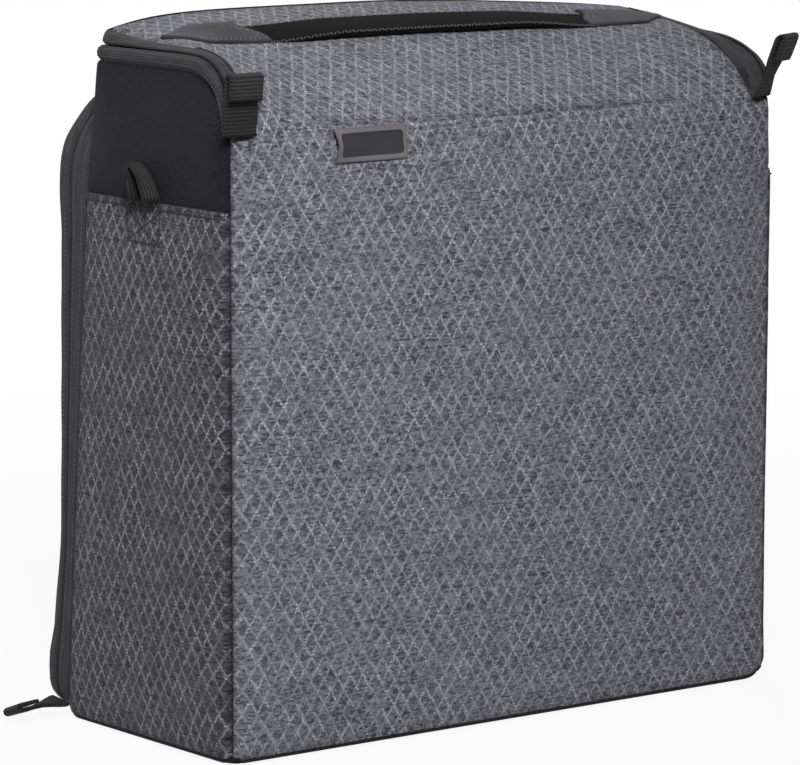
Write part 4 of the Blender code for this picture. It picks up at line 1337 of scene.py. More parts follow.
# %% Header strip above the door
def make_header():
    half = half_width - wall - 0.3 * mm
    top = yoke_height / math.cos(lean_angle)
    overlap = 7 * mm
    radius, crown = arch_radius - overlap, arch_high - overlap
    centre = (half - radius, crown - radius)
    curve = []
    for share in even(21):
        turn = between(math.radians(20), math.pi / 2, share)
        curve.append((centre[0] + radius * math.cos(turn), centre[1] + radius * math.sin(turn)))
    across = [(between(centre[0], -centre[0], share), crown) for share in even(20)[1:-1]]
    curve = curve + across + [(-x, z) for x, z in reversed(curve)]
    count = len(curve) - 1

    def place(u, v):
        index = round(u * count)
        x, z = curve[index]
        top_x = x + (half - curve[0][0]) * (x / curve[0][0])
        spot = (between(x, top_x, v), between(z, top - 0.3 * mm, v))
        return back_matrix @ Vector((spot[0], -0.3 * mm, spot[1]))

    header = padded_grid(
        "header_padding", place, even(count),
        [0.0, 0.05, 0.15, 0.3, 0.5, 0.7, 0.85, 0.95, 1.0], (0, 1, 0), wall - 0.8 * mm,
        (1.0 * mm, 1.0 * mm, 1.6 * mm, 1.2 * mm), black_softshell,
        cloth_at=by_x_and_z,
    )
    return wear(soften(header), "tub", "softshell", "back_header", fill=0.5)


make_header()

# %% [markdown]
# ## Inside pads
# Padded shelves and loose dividers stand in the box, and a thin pad lines the lid. They
# are covered in brushed cloth that hook fasteners grip, so the dividers can be placed
# anywhere. Each is a flat panel on four corners that its foam will crown a little.

# %% Shelves and dividers
inner_half = half_width - wall - 0.3 * mm
inner_front = front_y + wall + 0.3 * mm
inner_floor = wall + 0.3 * mm
room_half = inner_half - 1.1 * mm
room_front = inner_front + 1.1 * mm
shelf = 6 * mm
pad_thickness = shelf - 0.6 * mm
pad_edges = (0.0, 0.4, 1.0, 1.9, 3.2)


def make_pad(node, corners, facing, body, puff):
    """A thin pad on four corners, crowned on the side that it faces."""
    a, b, c, d = [Vector(corner_place) for corner_place in corners]
    us = fine_to_coarse((b - a).length, 5 * mm, pad_edges)
    vs = fine_to_coarse((d - a).length, 5 * mm, pad_edges)

    def place(u, v):
        return a.lerp(b, u).lerp(d.lerp(c, u), v)

    pad = padded_grid(
        node + "_pad", place, us, vs, facing, pad_thickness, (1.4 * mm,) * 4, divider_cloth,
        puff=puff, puff_reach=16 * mm, ripple=0.15 * mm, edge_reach=1.4,
    )
    return wear(soften(pad), body, "divider", node, fill=0.6, swells=0.4 * mm)


def make_shelves():
    for name, height in (("upper_shelf", 178 * mm), ("lower_shelf", 90 * mm)):
        top = height + shelf - 0.3 * mm
        rear = back_y(top) - 2 * mm
        corners = [
            (-room_half, room_front, top), (room_half, room_front, top),
            (room_half, rear, top), (-room_half, rear, top),
        ]
        make_pad(name, corners, (0, 0, 1), "tub", 0.25 * mm)


def make_divider(name, x, low, high):
    rear = back_y(high) - 2 * mm
    front = room_front + 0.2 * mm
    face = x + shelf / 2 - 0.25 * mm
    corners = [(face, front, low), (face, rear, low), (face, rear, high), (face, front, high)]
    make_pad(name, corners, (1, 0, 0), name, 0.2 * mm)


make_shelves()
make_divider("top_divider", -24 * mm, 184.4 * mm, 250 * mm)
for side, hand in hands:
    make_divider("middle_divider_" + hand, side * 48 * mm, 96.5 * mm, 177.5 * mm)
make_divider("bottom_divider", 26 * mm, 9.6 * mm, 89.5 * mm)


# %% Pad under the lid
def make_lid_pad():
    rim = 15 * mm
    share_u, share_v = rim / (2 * lid_half_width), rim / lid_depth

    def place(u, v):
        inner_u = between(share_u, 1 - share_u, u)
        inner_v = between(0.45, 1 - share_v, v)
        x = (2 * inner_u - 1) * lid_half_width
        return lid_surface(x, lid_point(inner_u, inner_v).y, -7.7 * mm)

    us = fine_to_coarse(240 * mm, 5 * mm, (0.0, 0.4, 1.0, 2.0))
    vs = fine_to_coarse(50 * mm, 4 * mm, (0.0, 0.4, 1.0, 2.0))
    pad = padded_grid(
        "lid_inner_pad", place, us, vs, (0, 0, -1), 2.7 * mm, (1.2 * mm,) * 4, inner_lining,
        puff=0.2 * mm, puff_reach=14 * mm, edge_reach=1.2,
    )
    return wear(soften(pad), "lid", "lining", "lid_lining", fill=0.5, swells=0.5 * mm)


make_lid_pad()

# %% [markdown]
# ## Foam under the cloth
# Foam pushes a sewn panel out while its seams hold the rim. Blender's Cloth does the
# same when the rim is pinned and a small pressure works from inside. All panels swell
# together for twenty frames, each point's travel is held to the panel's own limit, and
# the result is written into the mesh.

# %% Swell the padded panels
swell_frames = 20
firm_foam = 9.0


def puff_up(item, pressure):
    """Give a panel a Cloth modifier that is pinned at its seams."""
    held = item.vertex_groups.new(name="sewn")
    for index, value in enumerate(item.data.attributes["sewn"].data):
        held.add([index], value.value, "REPLACE")
    foam = item.modifiers.new("foam", "CLOTH")
    item.modifiers.move(len(item.modifiers) - 1, 0)
    for other in item.modifiers[1:]:
        other.show_viewport = False
    cloth = foam.settings
    cloth.quality = 4
    cloth.mass = 0.25
    cloth.tension_stiffness = cloth.compression_stiffness = 10
    cloth.shear_stiffness = 5
    cloth.bending_stiffness = 0.3
    cloth.vertex_group_mass = "sewn"
    cloth.use_pressure = True
    cloth.uniform_pressure_force = pressure
    cloth.effector_weights.gravity = 0
    foam.collision_settings.use_collision = False
    foam.point_cache.frame_start = 1
    foam.point_cache.frame_end = swell_frames


def settle(item, limit):
    """Write the swollen shape into the mesh, each point's travel held to the limit."""
    graph = bpy.context.evaluated_depsgraph_get()
    swollen_mesh = item.evaluated_get(graph).to_mesh()
    shape = [vertex.co.copy() for vertex in swollen_mesh.vertices]
    item.evaluated_get(graph).to_mesh_clear()
    furthest = 0.0
    for vertex, goal in zip(item.data.vertices, shape):
        travel = goal - vertex.co
        length = travel.length
        furthest = max(furthest, length)
        if length > 1e-7:
            vertex.co += travel * (limit * math.tanh(length / limit) / length)
    item.modifiers.remove(item.modifiers["foam"])
    for other in item.modifiers:
        other.show_viewport = True
    item.vertex_groups.clear()
    return furthest


for item, limit in padded_pieces:
    puff_up(item, firm_foam if item.name.startswith(("lid_padding", "yoke")) else 4.0)
for frame_number in range(1, swell_frames + 1):
    bpy.context.scene.frame_set(frame_number)
for item, limit in padded_pieces:
    print("swelled", item.name, round(settle(item, limit) * 1000, 2), "mm before the limit")
bpy.context.scene.frame_set(1)

# %% [markdown]
# ## Laying things on a finished surface
# Labels, folds and stitches lie on cloth whose final shape only the foam knows. A ray
# shot at the finished panel finds the place and the way out of the cloth there, which is
# surer than repeating the panel's sum and guessing its swell.

# %% Touch a finished surface
class Skin:
    """The outer face of a finished piece, found by a ray from outside."""

    def __init__(self, item):
        bpy.context.view_layer.update()
        worn = item.evaluated_get(bpy.context.evaluated_depsgraph_get())
        mesh = worn.to_mesh()
        mesh.calc_loop_triangles()
        places = [vertex.co.copy() for vertex in mesh.vertices]
        corners = [tuple(triangle.vertices) for triangle in mesh.loop_triangles]
        self.tree = BVHTree.FromPolygons(places, corners)
        worn.to_mesh_clear()

    def touch(self, origin, way):
        """The first point that a ray meets, and the outward way there."""
        spot, outward, _, _ = self.tree.ray_cast(Vector(origin), Vector(way).normalized())
        return spot, outward


ray_reach, ray_height = 0.3, 0.4
front_skin = Skin(front)
lid_skin = Skin(lid)
side_skins = {side: Skin(bpy.data.objects["side_padding_" + hand])
              for side, hand in hands}
middle = front_skin.touch((0, -ray_reach, 0.12), (0, 1, 0))[0]
print("front face at", [round(value / mm, 1) for value in middle], "mm")

# %% [markdown]
# ## The fold from front to lid
# On the real object the front cloth runs on over a soft fold to become the lid's cloth,
# and that fold is the lid's hinge. A strip laid from the front panel's face over to the
# lid's stands for it.

# %% Cloth over the hinge
def run_along(points):
    """The length from the first point of a line to each of them."""
    runs = [0.0]
    for before, after in zip(points, points[1:]):
        runs.append(runs[-1] + math.dist(before, after))
    return runs


def make_hinge_cloth():
    columns = 96
    bends = 12
    reach = lid_half_width - 1.5 * mm
    proud = 0.10 * mm
    tuck = 0.7 * mm
    lines, flats = [], []
    for index in range(columns + 1):
        x = reach * (2 * index / columns - 1)
        low = front_skin.touch((x, -ray_reach, 248 * mm), (0, 1, 0))[0]
        face = front_skin.touch((x, -ray_reach, 251 * mm), (0, 1, 0))[0]
        near = lid_skin.touch((x, -51.0 * mm, ray_height), (0, 0, -1))[0]
        far = lid_skin.touch((x, -47.5 * mm, ray_height), (0, 0, -1))[0]
        slope = (far.z - near.z) / (far.y - near.y)
        bend = Vector((x, face.y, near.z + slope * (face.y - near.y)))
        line = [low + Vector((0, tuck, 0))]
        line += [low.lerp(face, share) - Vector((0, proud, 0)) for share in (0.3, 0.65, 1.0)]
        for step in range(1, bends):
            t = step / bends
            spot = face * (1 - t) ** 2 + bend * (2 * t * (1 - t)) + near * t ** 2
            line.append(spot + Vector((0, -proud * (1 - t), proud * t)))
        line += [near.lerp(far, share) + Vector((0, 0, proud)) for share in (0.0, 0.35, 0.7)]
        line.append(far - Vector((0, 0, tuck)))
        runs = run_along(line)
        start, end = 3, 3 + bends
        low_up = 251 * mm
        high_up = seam_height + lid_run(lid_row(x, near.y))
        ups = []
        for place, run in enumerate(runs):
            if place <= start:
                ups.append(low_up - (runs[start] - run))
            elif place >= end:
                ups.append(high_up + (run - runs[end]))
            else:
                share = (run - runs[start]) / (runs[end] - runs[start])
                ups.append(between(low_up, high_up, share))
        lines.append(line)
        flats.append(ups)
    rows = len(lines[0]) - 1

    def cloth_at(u, v, point):
        return (point.x, flats[round(u * columns)][round(v * rows)])

    strip = padded_grid(
        "front_hinge_cloth", lambda u, v: lines[round(u * columns)][round(v * rows)],
        even(columns), even(rows),
        lambda point: (0, -1, 0.7), 0.8 * mm, (0, 0, 0, 0), front_canvas,
        edge_reach=0.05, cloth_at=cloth_at,
    )
    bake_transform(strip)
    return strip


hinge_cloth = make_hinge_cloth()
print("hinge cloth", len(hinge_cloth.data.polygons), "faces")

# %% [markdown]
# ## Handle, tabs and loops
# The handle is a strap of webbing between two leather patches on the lid. The strap
# stands a little off the lid in its middle and runs in under the patches at its ends.
# The tabs are straps folded over at their tops, laid along one side profile, then turned
# and pinched. A plain block would hide the fold, which is what makes them read as
# webbing.

# %% Handle strap and leather patches
handle_front = front_y + 51 * mm
patch_length = 42 * mm
patch_depth = 26 * mm
tucked = 4 * mm
handle_half = lid_half_width - 0.3 * mm - patch_length - tucked
handle_width = 22 * mm
strap_width = 16 * mm
thread_edges = (0.0, 0.3, 0.8, 1.6)


def strap_place(u, across, above=0.0):
    """A place on the strap: along it, across it, and above its upper face."""
    x = (handle_half + tucked) * (2 * u - 1)
    y = handle_front + strap_width * across
    inside = ease(handle_half - abs(x), -1 * mm, 46 * mm)
    lift = between(1.25 * mm, between(4.8, 3.0, across) * mm, inside)
    return lid_surface(x, y, lift + above)


def make_handle():
    us = fine_to_coarse(2 * (handle_half + tucked), 4 * mm, (0.0, 0.4, 1.2, 2.6))
    vs = fine_to_coarse(strap_width, 2.6 * mm, thread_edges)
    strap = padded_grid(
        "handle_webbing", strap_place, us, vs, (0, 0, 1), 1.9 * mm,
        (0.4 * mm, 0.4 * mm, 0.7 * mm, 0.7 * mm), strap_webbing,
        puff=0.2 * mm, puff_reach=6 * mm, cloth_at=lambda u, v, p: (p.x, p.y), edge_reach=0.6,
    )
    wear(soften(strap), "handle", "webbing", "handle_strap")
    for side, hand in hands:
        us = fine_to_coarse(patch_length, 2.2 * mm, thread_edges)
        vs = fine_to_coarse(patch_depth, 2.2 * mm, thread_edges)
        patch = padded_grid(
            "handle_patch_" + hand,
            lambda u, v: patch_place(side, u if side > 0 else 1 - u, v, 1.95 * mm),
            us, vs, (0, 0, 1), 1.5 * mm, (0.5 * mm,) * 4, charcoal_leather,
            puff=0.35 * mm, puff_reach=4 * mm, edge_reach=0.7,
            cloth_at=lambda u, v, p: (p.x, p.y),
        )
        wear(patch, "lid", "leather_patch", "handle_anchor_" + hand)


def patch_place(side, out, across, height):
    """A place on a pointed leather patch: out from the strap's end, across its width."""
    tip = 44 * mm - 17 * mm * abs(2 * across - 1)
    inner = -5 * mm + 7 * mm * ease(across, 0.2, 0.8)
    x = side * (handle_half + between(inner, tip, out))
    y = handle_front + handle_width / 2 - 0.5 * mm + 20 * mm * (across - 0.5)
    return lid_surface(x, y, height)


make_handle()


# %% Folded webbing tabs
tab_thickness = 1.7 * mm
tab_skew = 1.5 * mm
fold_height = 23.3 * mm


def make_tab(name, matrix, sway, node, width=17 * mm, twist=0.0, pinch=0.0, block=1.0):
    """A strap that stands up, folds over at its top and comes down as a second layer."""
    path = [(-0.9 * mm, height * mm) for height in (0, 2, 5, 8, 11, 13.2, 15, 18, 21, 23.2)]
    for index in range(1, 8):
        turn = math.pi * index / 8
        path.append((
            (-0.9 - 1.1 * block + 1.1 * block * math.cos(turn)) * mm,
            (23.4 + 1.3 * math.sin(turn)) * mm,
        ))
    path += [((-0.9 - 2.2 * block) * mm, height * mm) for height in (23.2, 21, 18, 16, 14.4)]
    runs = run_along(path)
    shear = Matrix.Identity(4)
    shear[0][2] = sway
    place_matrix = matrix @ shear

    def bent(point):
        """Turn and narrow the strap along its length."""
        angle = twist * ease(point.z, 2 * mm, 15 * mm)
        narrow = 1 - pinch * math.exp(-((point.z - 8 * mm) / (4.5 * mm)) ** 2)
        x, y = point.x * narrow, point.y + tab_skew
        return Vector((
            x * math.cos(angle) - y * math.sin(angle),
            x * math.sin(angle) + y * math.cos(angle) - tab_skew, point.z,
        ))

    def place(u, v):
        index = round(u * (len(path) - 1))
        deep, high = path[index]
        before, after = path[max(index - 1, 0)], path[min(index + 1, len(path) - 1)]
        way = Vector((0, after[0] - before[0], after[1] - before[1])).normalized()
        out = Vector((0, -way.z, way.y))
        x = width * (v - 0.5)
        waver = 0.35 * mm * noise.noise(Vector((index * 0.6, v * 2.0, width * 900)))
        return place_matrix @ bent(Vector((x + waver, deep, high)) + out * -tab_thickness / 2)

    vs = fine_to_coarse(width, 2.4 * mm, (0.0, 0.3, 0.9))
    last = len(path) - 1
    facing = place_matrix.to_3x3()

    def out_at(point):
        local = place_matrix.inverted() @ point
        angle = twist * ease(local.z, 2 * mm, 15 * mm)
        face = Vector((-math.sin(angle), math.cos(angle), 0))
        if local.z > fold_height:
            deep = (local + Vector((0, 2.0 * mm, 0))).dot(face)
            return facing @ (face * deep + Vector((0, 0, local.z - fold_height)))
        away = (local + Vector((0, tab_skew, 0))).dot(face) + 0.5 * mm
        return facing @ (face if away > 0 else -face)

    tab = padded_grid(
        name, place, even(last), vs, out_at, tab_thickness,
        (0.2 * mm, 0.2 * mm, 0.5 * mm, 0.5 * mm), tab_webbing, edge_reach=0.6,
        cloth_at=lambda u, v, p: (width * v, runs[round(u * last)]),
    )
    return wear(tab, node, "webbing", node)


def make_tabs():
    low = lid_bottom + 0.3 * mm
    spot = (4.4 * mm - half_width, front_y - 0.9 * mm, low - 1.6 * mm)
    make_tab(
        "front_tab_webbing_left", Matrix.Translation(spot), 0.06, "front_tab_left",
        width=16 * mm, block=1.7,
    )
    spot = (half_width - 7.6 * mm, front_y, low - 0.2 * mm)
    matrix = Matrix.Translation(spot) @ Matrix.Rotation(math.radians(25), 4, "Z")
    make_tab(
        "front_tab_webbing_right", matrix, 0.98, "front_tab_right", width=15 * mm,
        block=1.6, pinch=0.4,
    )
    for side, hand in hands:
        spot = (side * (half_width + 0.4 * mm), 4 * mm, 5.5 * mm)
        droop = Matrix.Rotation(side * (math.pi / 2 + math.radians(5)), 4, "Y")
        face = Matrix.Rotation(-side * math.pi / 2, 4, "Z")
        matrix = back_matrix @ Matrix.Translation(spot) @ droop @ face
        make_tab(
            "back_tab_webbing_" + hand, matrix, 0.0, "back_tab_" + hand,
            width=13 * mm, twist=side * math.radians(-24), pinch=0.25,
        )


make_tabs()


# %% Black cord round the base, painted shade
def make_cord(name, points, radius, cloth, body, slot, *nodes, sides=8):
    """A round cord of cloth along a row of points."""
    bm = bmesh.new()
    bm.verts.layers.float.new("edge")
    uv_layer = bm.loops.layers.uv.new("weave")
    rings, runs, run = [], [], 0.0
    for index, spot in enumerate(points):
        before, after = points[max(index - 1, 0)], points[min(index + 1, len(points) - 1)]
        along = (after - before).normalized()
        side = along.cross(Vector((0, 0, 1))).normalized()
        up = side.cross(along)
        ring = []
        for step in range(sides):
            turn = 2 * math.pi * step / sides
            out = side * math.cos(turn) + up * math.sin(turn)
            ring.append(bm.verts.new(spot + out * radius))
        run += (spot - points[max(index - 1, 0)]).length
        rings.append(ring)
        runs.append(run)
    for index in range(len(rings) - 1):
        for step in range(sides):
            after = (step + 1) % sides
            face = bm.faces.new((
                rings[index][step], rings[index][after],
                rings[index + 1][after], rings[index + 1][step],
            ))
            face.smooth = True
            girth = 2 * math.pi * radius / sides
            spots = ((runs[index], step), (runs[index], step + 1),
                     (runs[index + 1], step + 1), (runs[index + 1], step))
            for loop, (along_run, turn) in zip(face.loops, spots):
                loop[uv_layer].uv = (along_run, turn * girth)
    bm.faces.new(rings[0])
    bm.faces.new(list(reversed(rings[-1])))
    bmesh.ops.recalc_face_normals(bm, faces=bm.faces)
    return wear(from_faces(name, bm, cloth), body, slot, *nodes)


def base_seam():
    """The seam between the base and the walls, from the left back round the front."""
    rear, turn = 0.93, 0.025
    spots = [(0.0, rear * (1 - share)) for share in even(40)[:-1]]
    spots += [(turn * share, 0.0) for share in even(4)[:-1]]
    spots += [(turn + (1 - 2 * turn) * share, 0.0) for share in even(60)]
    spots += [(1 - turn + turn * share, 0.0) for share in even(4)[1:]]
    spots += [(1.0, rear * share) for share in even(40)[1:]]
    points = []
    for u, v in spots:
        spot = base_place(u, v)
        across = spot.x / half_width if u in (0.0, 1.0) else 0
        out = Vector((across, -1 if v == 0 else 0, 0))
        points.append(spot + out * 0.1 * mm + Vector((0, 0, 0.2 * mm)))
    return points


# Painted shade: a black cord along the seam of the base stands in for the shade where the bottom
# rounds under.
make_cord("base_shade_cord", base_seam(), 0.9 * mm, black_softshell, "tub", "softshell")


# %% Side loops and label
loop_rise = 15.5 * mm
loop_half = 6.0 * mm
loop_middle = front_y + 52.5 * mm
loop_width = 8 * mm
loop_lean = 5.5 * mm


def make_loops():
    """Small loops of webbing that stand up from the hem and lean back."""
    for side, hand in hands:
        def place(u, v, side=side):
            angle = math.pi * u
            z = hem_height + 0.6 * mm + loop_rise * math.sin(angle) ** 0.7
            lean_back = loop_lean * ((z - hem_height) / loop_rise) ** 1.3
            y = loop_middle - loop_half * math.cos(angle) + lean_back
            out = 0.3 * mm + loop_width * v + 2.2 * mm * math.sin(angle) * (1 - v)
            return fill_out(Vector((side * (half_width + out), y, z)))

        vs = fine_to_coarse(loop_width, 1.6 * mm, (0.0, 0.3, 0.9))
        loop = padded_grid(
            "side_loop_webbing_" + hand, place, even(40), vs,
            lambda p: (0, p.y + 5 * mm, p.z - hem_height - 5 * mm), 2.0 * mm,
            (0, 0, 0.4 * mm, 0.4 * mm), tab_webbing, edge_reach=0.5,
        )
        wear(loop, "side_loop_" + hand, "webbing", "side_loop_" + hand)


label_width = 37.5 * mm
label_height = 14.2 * mm
label_left = 51.4 * mm - half_width
label_cloth = woven_label("label_cloth", label_width / mm, label_height / mm)


def make_label():
    """A bare woven label that stands off the front at its left edge."""
    low = seam_height - 0.3 * mm - label_height

    def place(u, v):
        x, z = label_left + label_width * u, low + label_height * v
        face = front_skin.touch((x, -ray_reach, min(z, 252 * mm)), (0, 1, 0))[0].y
        bow = 3.0 * mm * (1 - u) ** 4 * math.sin(math.pi * v) + 0.6 * mm * (1 - u)
        return Vector((x + 0.8 * mm * math.sin(math.pi * v) * (1 - u), face - 1.0 * mm - bow, z))

    us = fine_to_coarse(label_width, 2.0 * mm, (0.0, 0.25, 0.7, 1.4))
    vs = fine_to_coarse(label_height, 1.4 * mm, (0.0, 0.25, 0.7, 1.4))
    label = padded_grid(
        "label_cloth", place, us, vs, (0, -1, 0), 0.8 * mm, (0.3 * mm,) * 4,
        label_cloth, edge_reach=0.35,
        cloth_at=lambda u, v, p: (label_width * u, label_height * v),
    )
    return wear(label, "tub", "label_fabric", "label")


make_loops()
make_label()

# %% [markdown]
# ## Stitches and zip teeth
# Rows of thread follow paths on the finished surfaces. An array on a curve would bend
# each stitch with the path. One Geometry Nodes tree lays a small bead of thread at an
# even spacing instead, turned to the path and to the surface, and every row and every
# zip coil is made with it.

# %% The stitch row tree
def plant(tree, kind, settings=None, sockets=None):
    """A node in a geometry tree: settings first, then values or links."""
    node = tree.nodes.new(kind)
    for key, item in (settings or {}).items():
        setattr(node, key, item)
    for key, item in (sockets or {}).items():
        if isinstance(item, bpy.types.NodeSocket):
            tree.links.new(item, node.inputs[key])
        else:
            node.inputs[key].default_value = item
    return node


def make_stitch_tree():
    tree = bpy.data.node_groups.new("stitch_row", "GeometryNodeTree")
    inputs = (
        ("Path", "NodeSocketGeometry"), ("Spacing", "NodeSocketFloat"),
        ("Length", "NodeSocketFloat"), ("Thickness", "NodeSocketFloat"),
        ("Turn", "NodeSocketFloat"), ("Slant", "NodeSocketFloat"),
        ("Thread", "NodeSocketMaterial"),
    )
    keys = {}
    for name, kind in inputs:
        keys[name] = tree.interface.new_socket(
            name=name, in_out="INPUT", socket_type=kind
        ).identifier
    tree.interface.new_socket(name="Stitches", in_out="OUTPUT", socket_type="NodeSocketGeometry")
    given = tree.nodes.new("NodeGroupInput").outputs
    curve = plant(tree, "GeometryNodeMeshToCurve", None, {"Mesh": given["Path"]})
    spaced = plant(
        tree, "GeometryNodeResampleCurve", {"mode": "LENGTH"},
        {"Curve": curve.outputs[0], "Length": given["Spacing"]},
    )
    bead = plant(
        tree, "GeometryNodeMeshUVSphere", None, {"Segments": 8, "Rings": 4, "Radius": 0.5}
    )
    size = plant(
        tree, "ShaderNodeCombineXYZ", None,
        {"X": given["Length"], "Y": given["Thickness"], "Z": given["Thickness"]},
    )
    drawn = plant(
        tree, "GeometryNodeTransform", None,
        {"Geometry": bead.outputs[0], "Scale": size.outputs[0]},
    )
    tangent = plant(tree, "GeometryNodeInputTangent")
    outward = plant(
        tree, "GeometryNodeInputNamedAttribute", {"data_type": "FLOAT_VECTOR"}, {"Name": "out"}
    )
    along = plant(
        tree, "FunctionNodeAlignRotationToVector", {"axis": "X"}, {"Vector": tangent.outputs[0]}
    )
    facing = plant(
        tree, "FunctionNodeAlignRotationToVector", {"axis": "Z", "pivot_axis": "X"},
        {"Rotation": along.outputs[0], "Vector": outward.outputs[0]},
    )
    number = plant(tree, "GeometryNodeInputIndex")
    odd = plant(
        tree, "ShaderNodeMath", {"operation": "MODULO"}, {0: number.outputs[0], 1: 2.0}
    )
    way = plant(
        tree, "ShaderNodeMath", {"operation": "MULTIPLY_ADD"},
        {0: odd.outputs[0], 1: 2.0, 2: -1.0},
    )
    angle = plant(
        tree, "ShaderNodeMath", {"operation": "MULTIPLY_ADD"},
        {0: way.outputs[0], 1: given["Slant"], 2: given["Turn"]},
    )
    tilt = plant(
        tree, "FunctionNodeAxisAngleToRotation", None,
        {"Axis": (0, 0, 1), "Angle": angle.outputs[0]},
    )
    turned = plant(
        tree, "FunctionNodeRotateRotation", {"rotation_space": "LOCAL"},
        {"Rotation": facing.outputs[0], "Rotate By": tilt.outputs[0]},
    )
    laid = plant(
        tree, "GeometryNodeInstanceOnPoints", None,
        {"Points": spaced.outputs[0], "Instance": drawn.outputs[0],
         "Rotation": turned.outputs[0]},
    )
    real = plant(tree, "GeometryNodeRealizeInstances", None, {"Geometry": laid.outputs[0]})
    smooth = plant(tree, "GeometryNodeSetShadeSmooth", None, {"Geometry": real.outputs[0]})
    done = plant(
        tree, "GeometryNodeSetMaterial", None,
        {"Geometry": smooth.outputs[0], "Material": given["Thread"]},
    )
    plant(tree, "NodeGroupOutput", None, {"Stitches": done.outputs[0]})
    return tree, keys


stitch_tree, stitch_keys = make_stitch_tree()


# %% Sew one row
def sew(name, rows, body, slot, thread_cloth, spacing, length, thickness, turn=0.0, slant=0.0,
        nodes=()):
    """Stitches along rows of (place, outward way), made a plain mesh that rides on a body."""
    places, edges, ways = [], [], []
    for row in rows:
        for index, (spot, outward) in enumerate(row):
            if index:
                edges.append((len(places) - 1, len(places)))
            places.append(tuple(spot))
            ways += list(outward)
    mesh = bpy.data.meshes.new(name + "_path")
    mesh.from_pydata(places, edges, [])
    mesh.attributes.new("out", "FLOAT_VECTOR", "POINT").data.foreach_set("vector", ways)
    item = into_scene(name, mesh)
    maker = item.modifiers.new("stitches", "NODES")
    maker.node_group = stitch_tree
    sizes = {"Spacing": spacing, "Length": length, "Thickness": thickness,
             "Turn": turn, "Slant": slant, "Thread": thread_cloth}
    for key, value in sizes.items():
        maker[stitch_keys[key]] = value
    graph = bpy.context.evaluated_depsgraph_get()
    made = bpy.data.meshes.new_from_object(item.evaluated_get(graph))
    item.modifiers.clear()
    item.data = made
    return wear(item, body, slot, *nodes)


print("stitch tree", len(stitch_tree.nodes), "nodes")


# %% Stitches on the walls
def side_row(side, places, lift=0.12 * mm):
    """Points on a side panel, through (y, z) places, with the outward way of the cloth."""
    row = []
    for (y0, z0), (y1, z1) in zip(places, places[1:]):
        steps = max(int(math.hypot(y1 - y0, z1 - z0) / (3 * mm)), 1)
        for step in range(steps + 1):
            y, z = between(y0, y1, step / steps), between(z0, z1, step / steps)
            spot, outward = side_skins[side].touch((side * ray_reach, y, z), (-side, 0, 0))
            if spot is not None:
                row.append((spot + outward * lift, outward))
    return row


def sew_walls():
    for side, hand in hands:
        hem_row = hem_height - 2.8 * mm
        hem = side_row(side, [(-56.0 * mm, hem_row), (40 * mm, hem_row)])
        a, b, c, d = [(y * mm, z * mm) for y, z in
                      ((10.4, 222.0), (-13.5, 222.0), (-14.0, 209.0), (7.5, 209.5))]
        box = [side_row(side, [a, b, c, d, a]), side_row(side, [a, c]), side_row(side, [b, d])]
        sew("side_stitches_" + hand, [hem] + box, "tub", "dark_gray_shell", black_thread,
            2.3 * mm, 2.1 * mm, 0.85 * mm)


sew_walls()


# %% Stitches on the fold and the handle
def sew_fold():
    skin = Skin(hinge_cloth)
    rows = []
    for low, high in ((-127, -95), (-54, -20), (22, 66), (84, 118)):
        row = []
        for x in range(low, high, 3):
            spot, outward = skin.touch((x * mm, -ray_reach, seam_height), (0, 1, 0))
            row.append((spot + outward * 0.02 * mm, outward))
        rows.append(row)
    sew("fold_stitches", rows, "tub", "gray_shell", black_thread, 2.6 * mm, 1.6 * mm, 0.25 * mm)


def patch_row(side, inset):
    """A stitch row round a leather patch, an inset from its edge."""
    share = inset / patch_depth
    out_low, out_high = inset / (34 * mm), 1 - inset / (38 * mm)
    spots = [(out_low, between(1 - share, share, part)) for part in even(8)]
    spots += [(between(out_low, out_high, part), share) for part in even(10)[1:]]
    spots += [(out_high, between(share, 1 - share, part)) for part in even(10)[1:]]
    spots += [(between(out_high, out_low, part), 1 - share) for part in even(10)[1:]]
    row = []
    for out, across in spots:
        spot = patch_place(side, out, across, 2.25 * mm)
        under = patch_place(side, out, across, 1.25 * mm)
        row.append((spot, (spot - under).normalized()))
    return row


def sew_handle():
    for side, hand in hands:
        rows = [patch_row(side, 2.0 * mm), patch_row(side, 4.2 * mm)]
        sew("patch_stitches_" + hand, rows, "lid", "leather_patch", patch_thread,
            2.4 * mm, 1.7 * mm, 0.45 * mm)
    rows = []
    for across in (0.045, 0.955):
        row = []
        for share in even(90):
            u = 0.03 + 0.94 * share
            spot = strap_place(u, across, 0.1 * mm)
            row.append((spot, (spot - strap_place(u, across, -1 * mm)).normalized()))
        rows.append(row)
    sew("handle_edge_stitches", rows, "handle", "webbing", patch_thread,
        1.9 * mm, 2.3 * mm, 0.42 * mm, turn=math.pi / 2, slant=0.5)


patch_thread = thread("patch_thread", colour(104, 104, 108))
sew_fold()
sew_handle()


# %% Stitches and coils of the zips
def zip_frame(index, edge_rail):
    """The meeting place, the way to an edge rail, and the outward way of that tape."""
    last = len(meeting_rail) - 1
    meet, edge = meeting_rail[index], edge_rail[index]
    way = (edge - meet).normalized()
    along = (meeting_rail[min(index + 1, last)] - meeting_rail[max(index - 1, 0)]).normalized()
    return meet, edge, way, outward_from(way, along, meet).normalized()


def sew_teeth(node, row, body):
    """A zip's coil: beads laid across the row, that stand for the CAD coil."""
    name = node + "_teeth" if node.startswith("back") else node.replace("_coil", "_teeth")
    sew(name, [row], body, "zip_coil", coil_nylon, 1.15 * mm, 2.0 * mm, 1.05 * mm,
        turn=math.pi / 2, nodes=(node,))


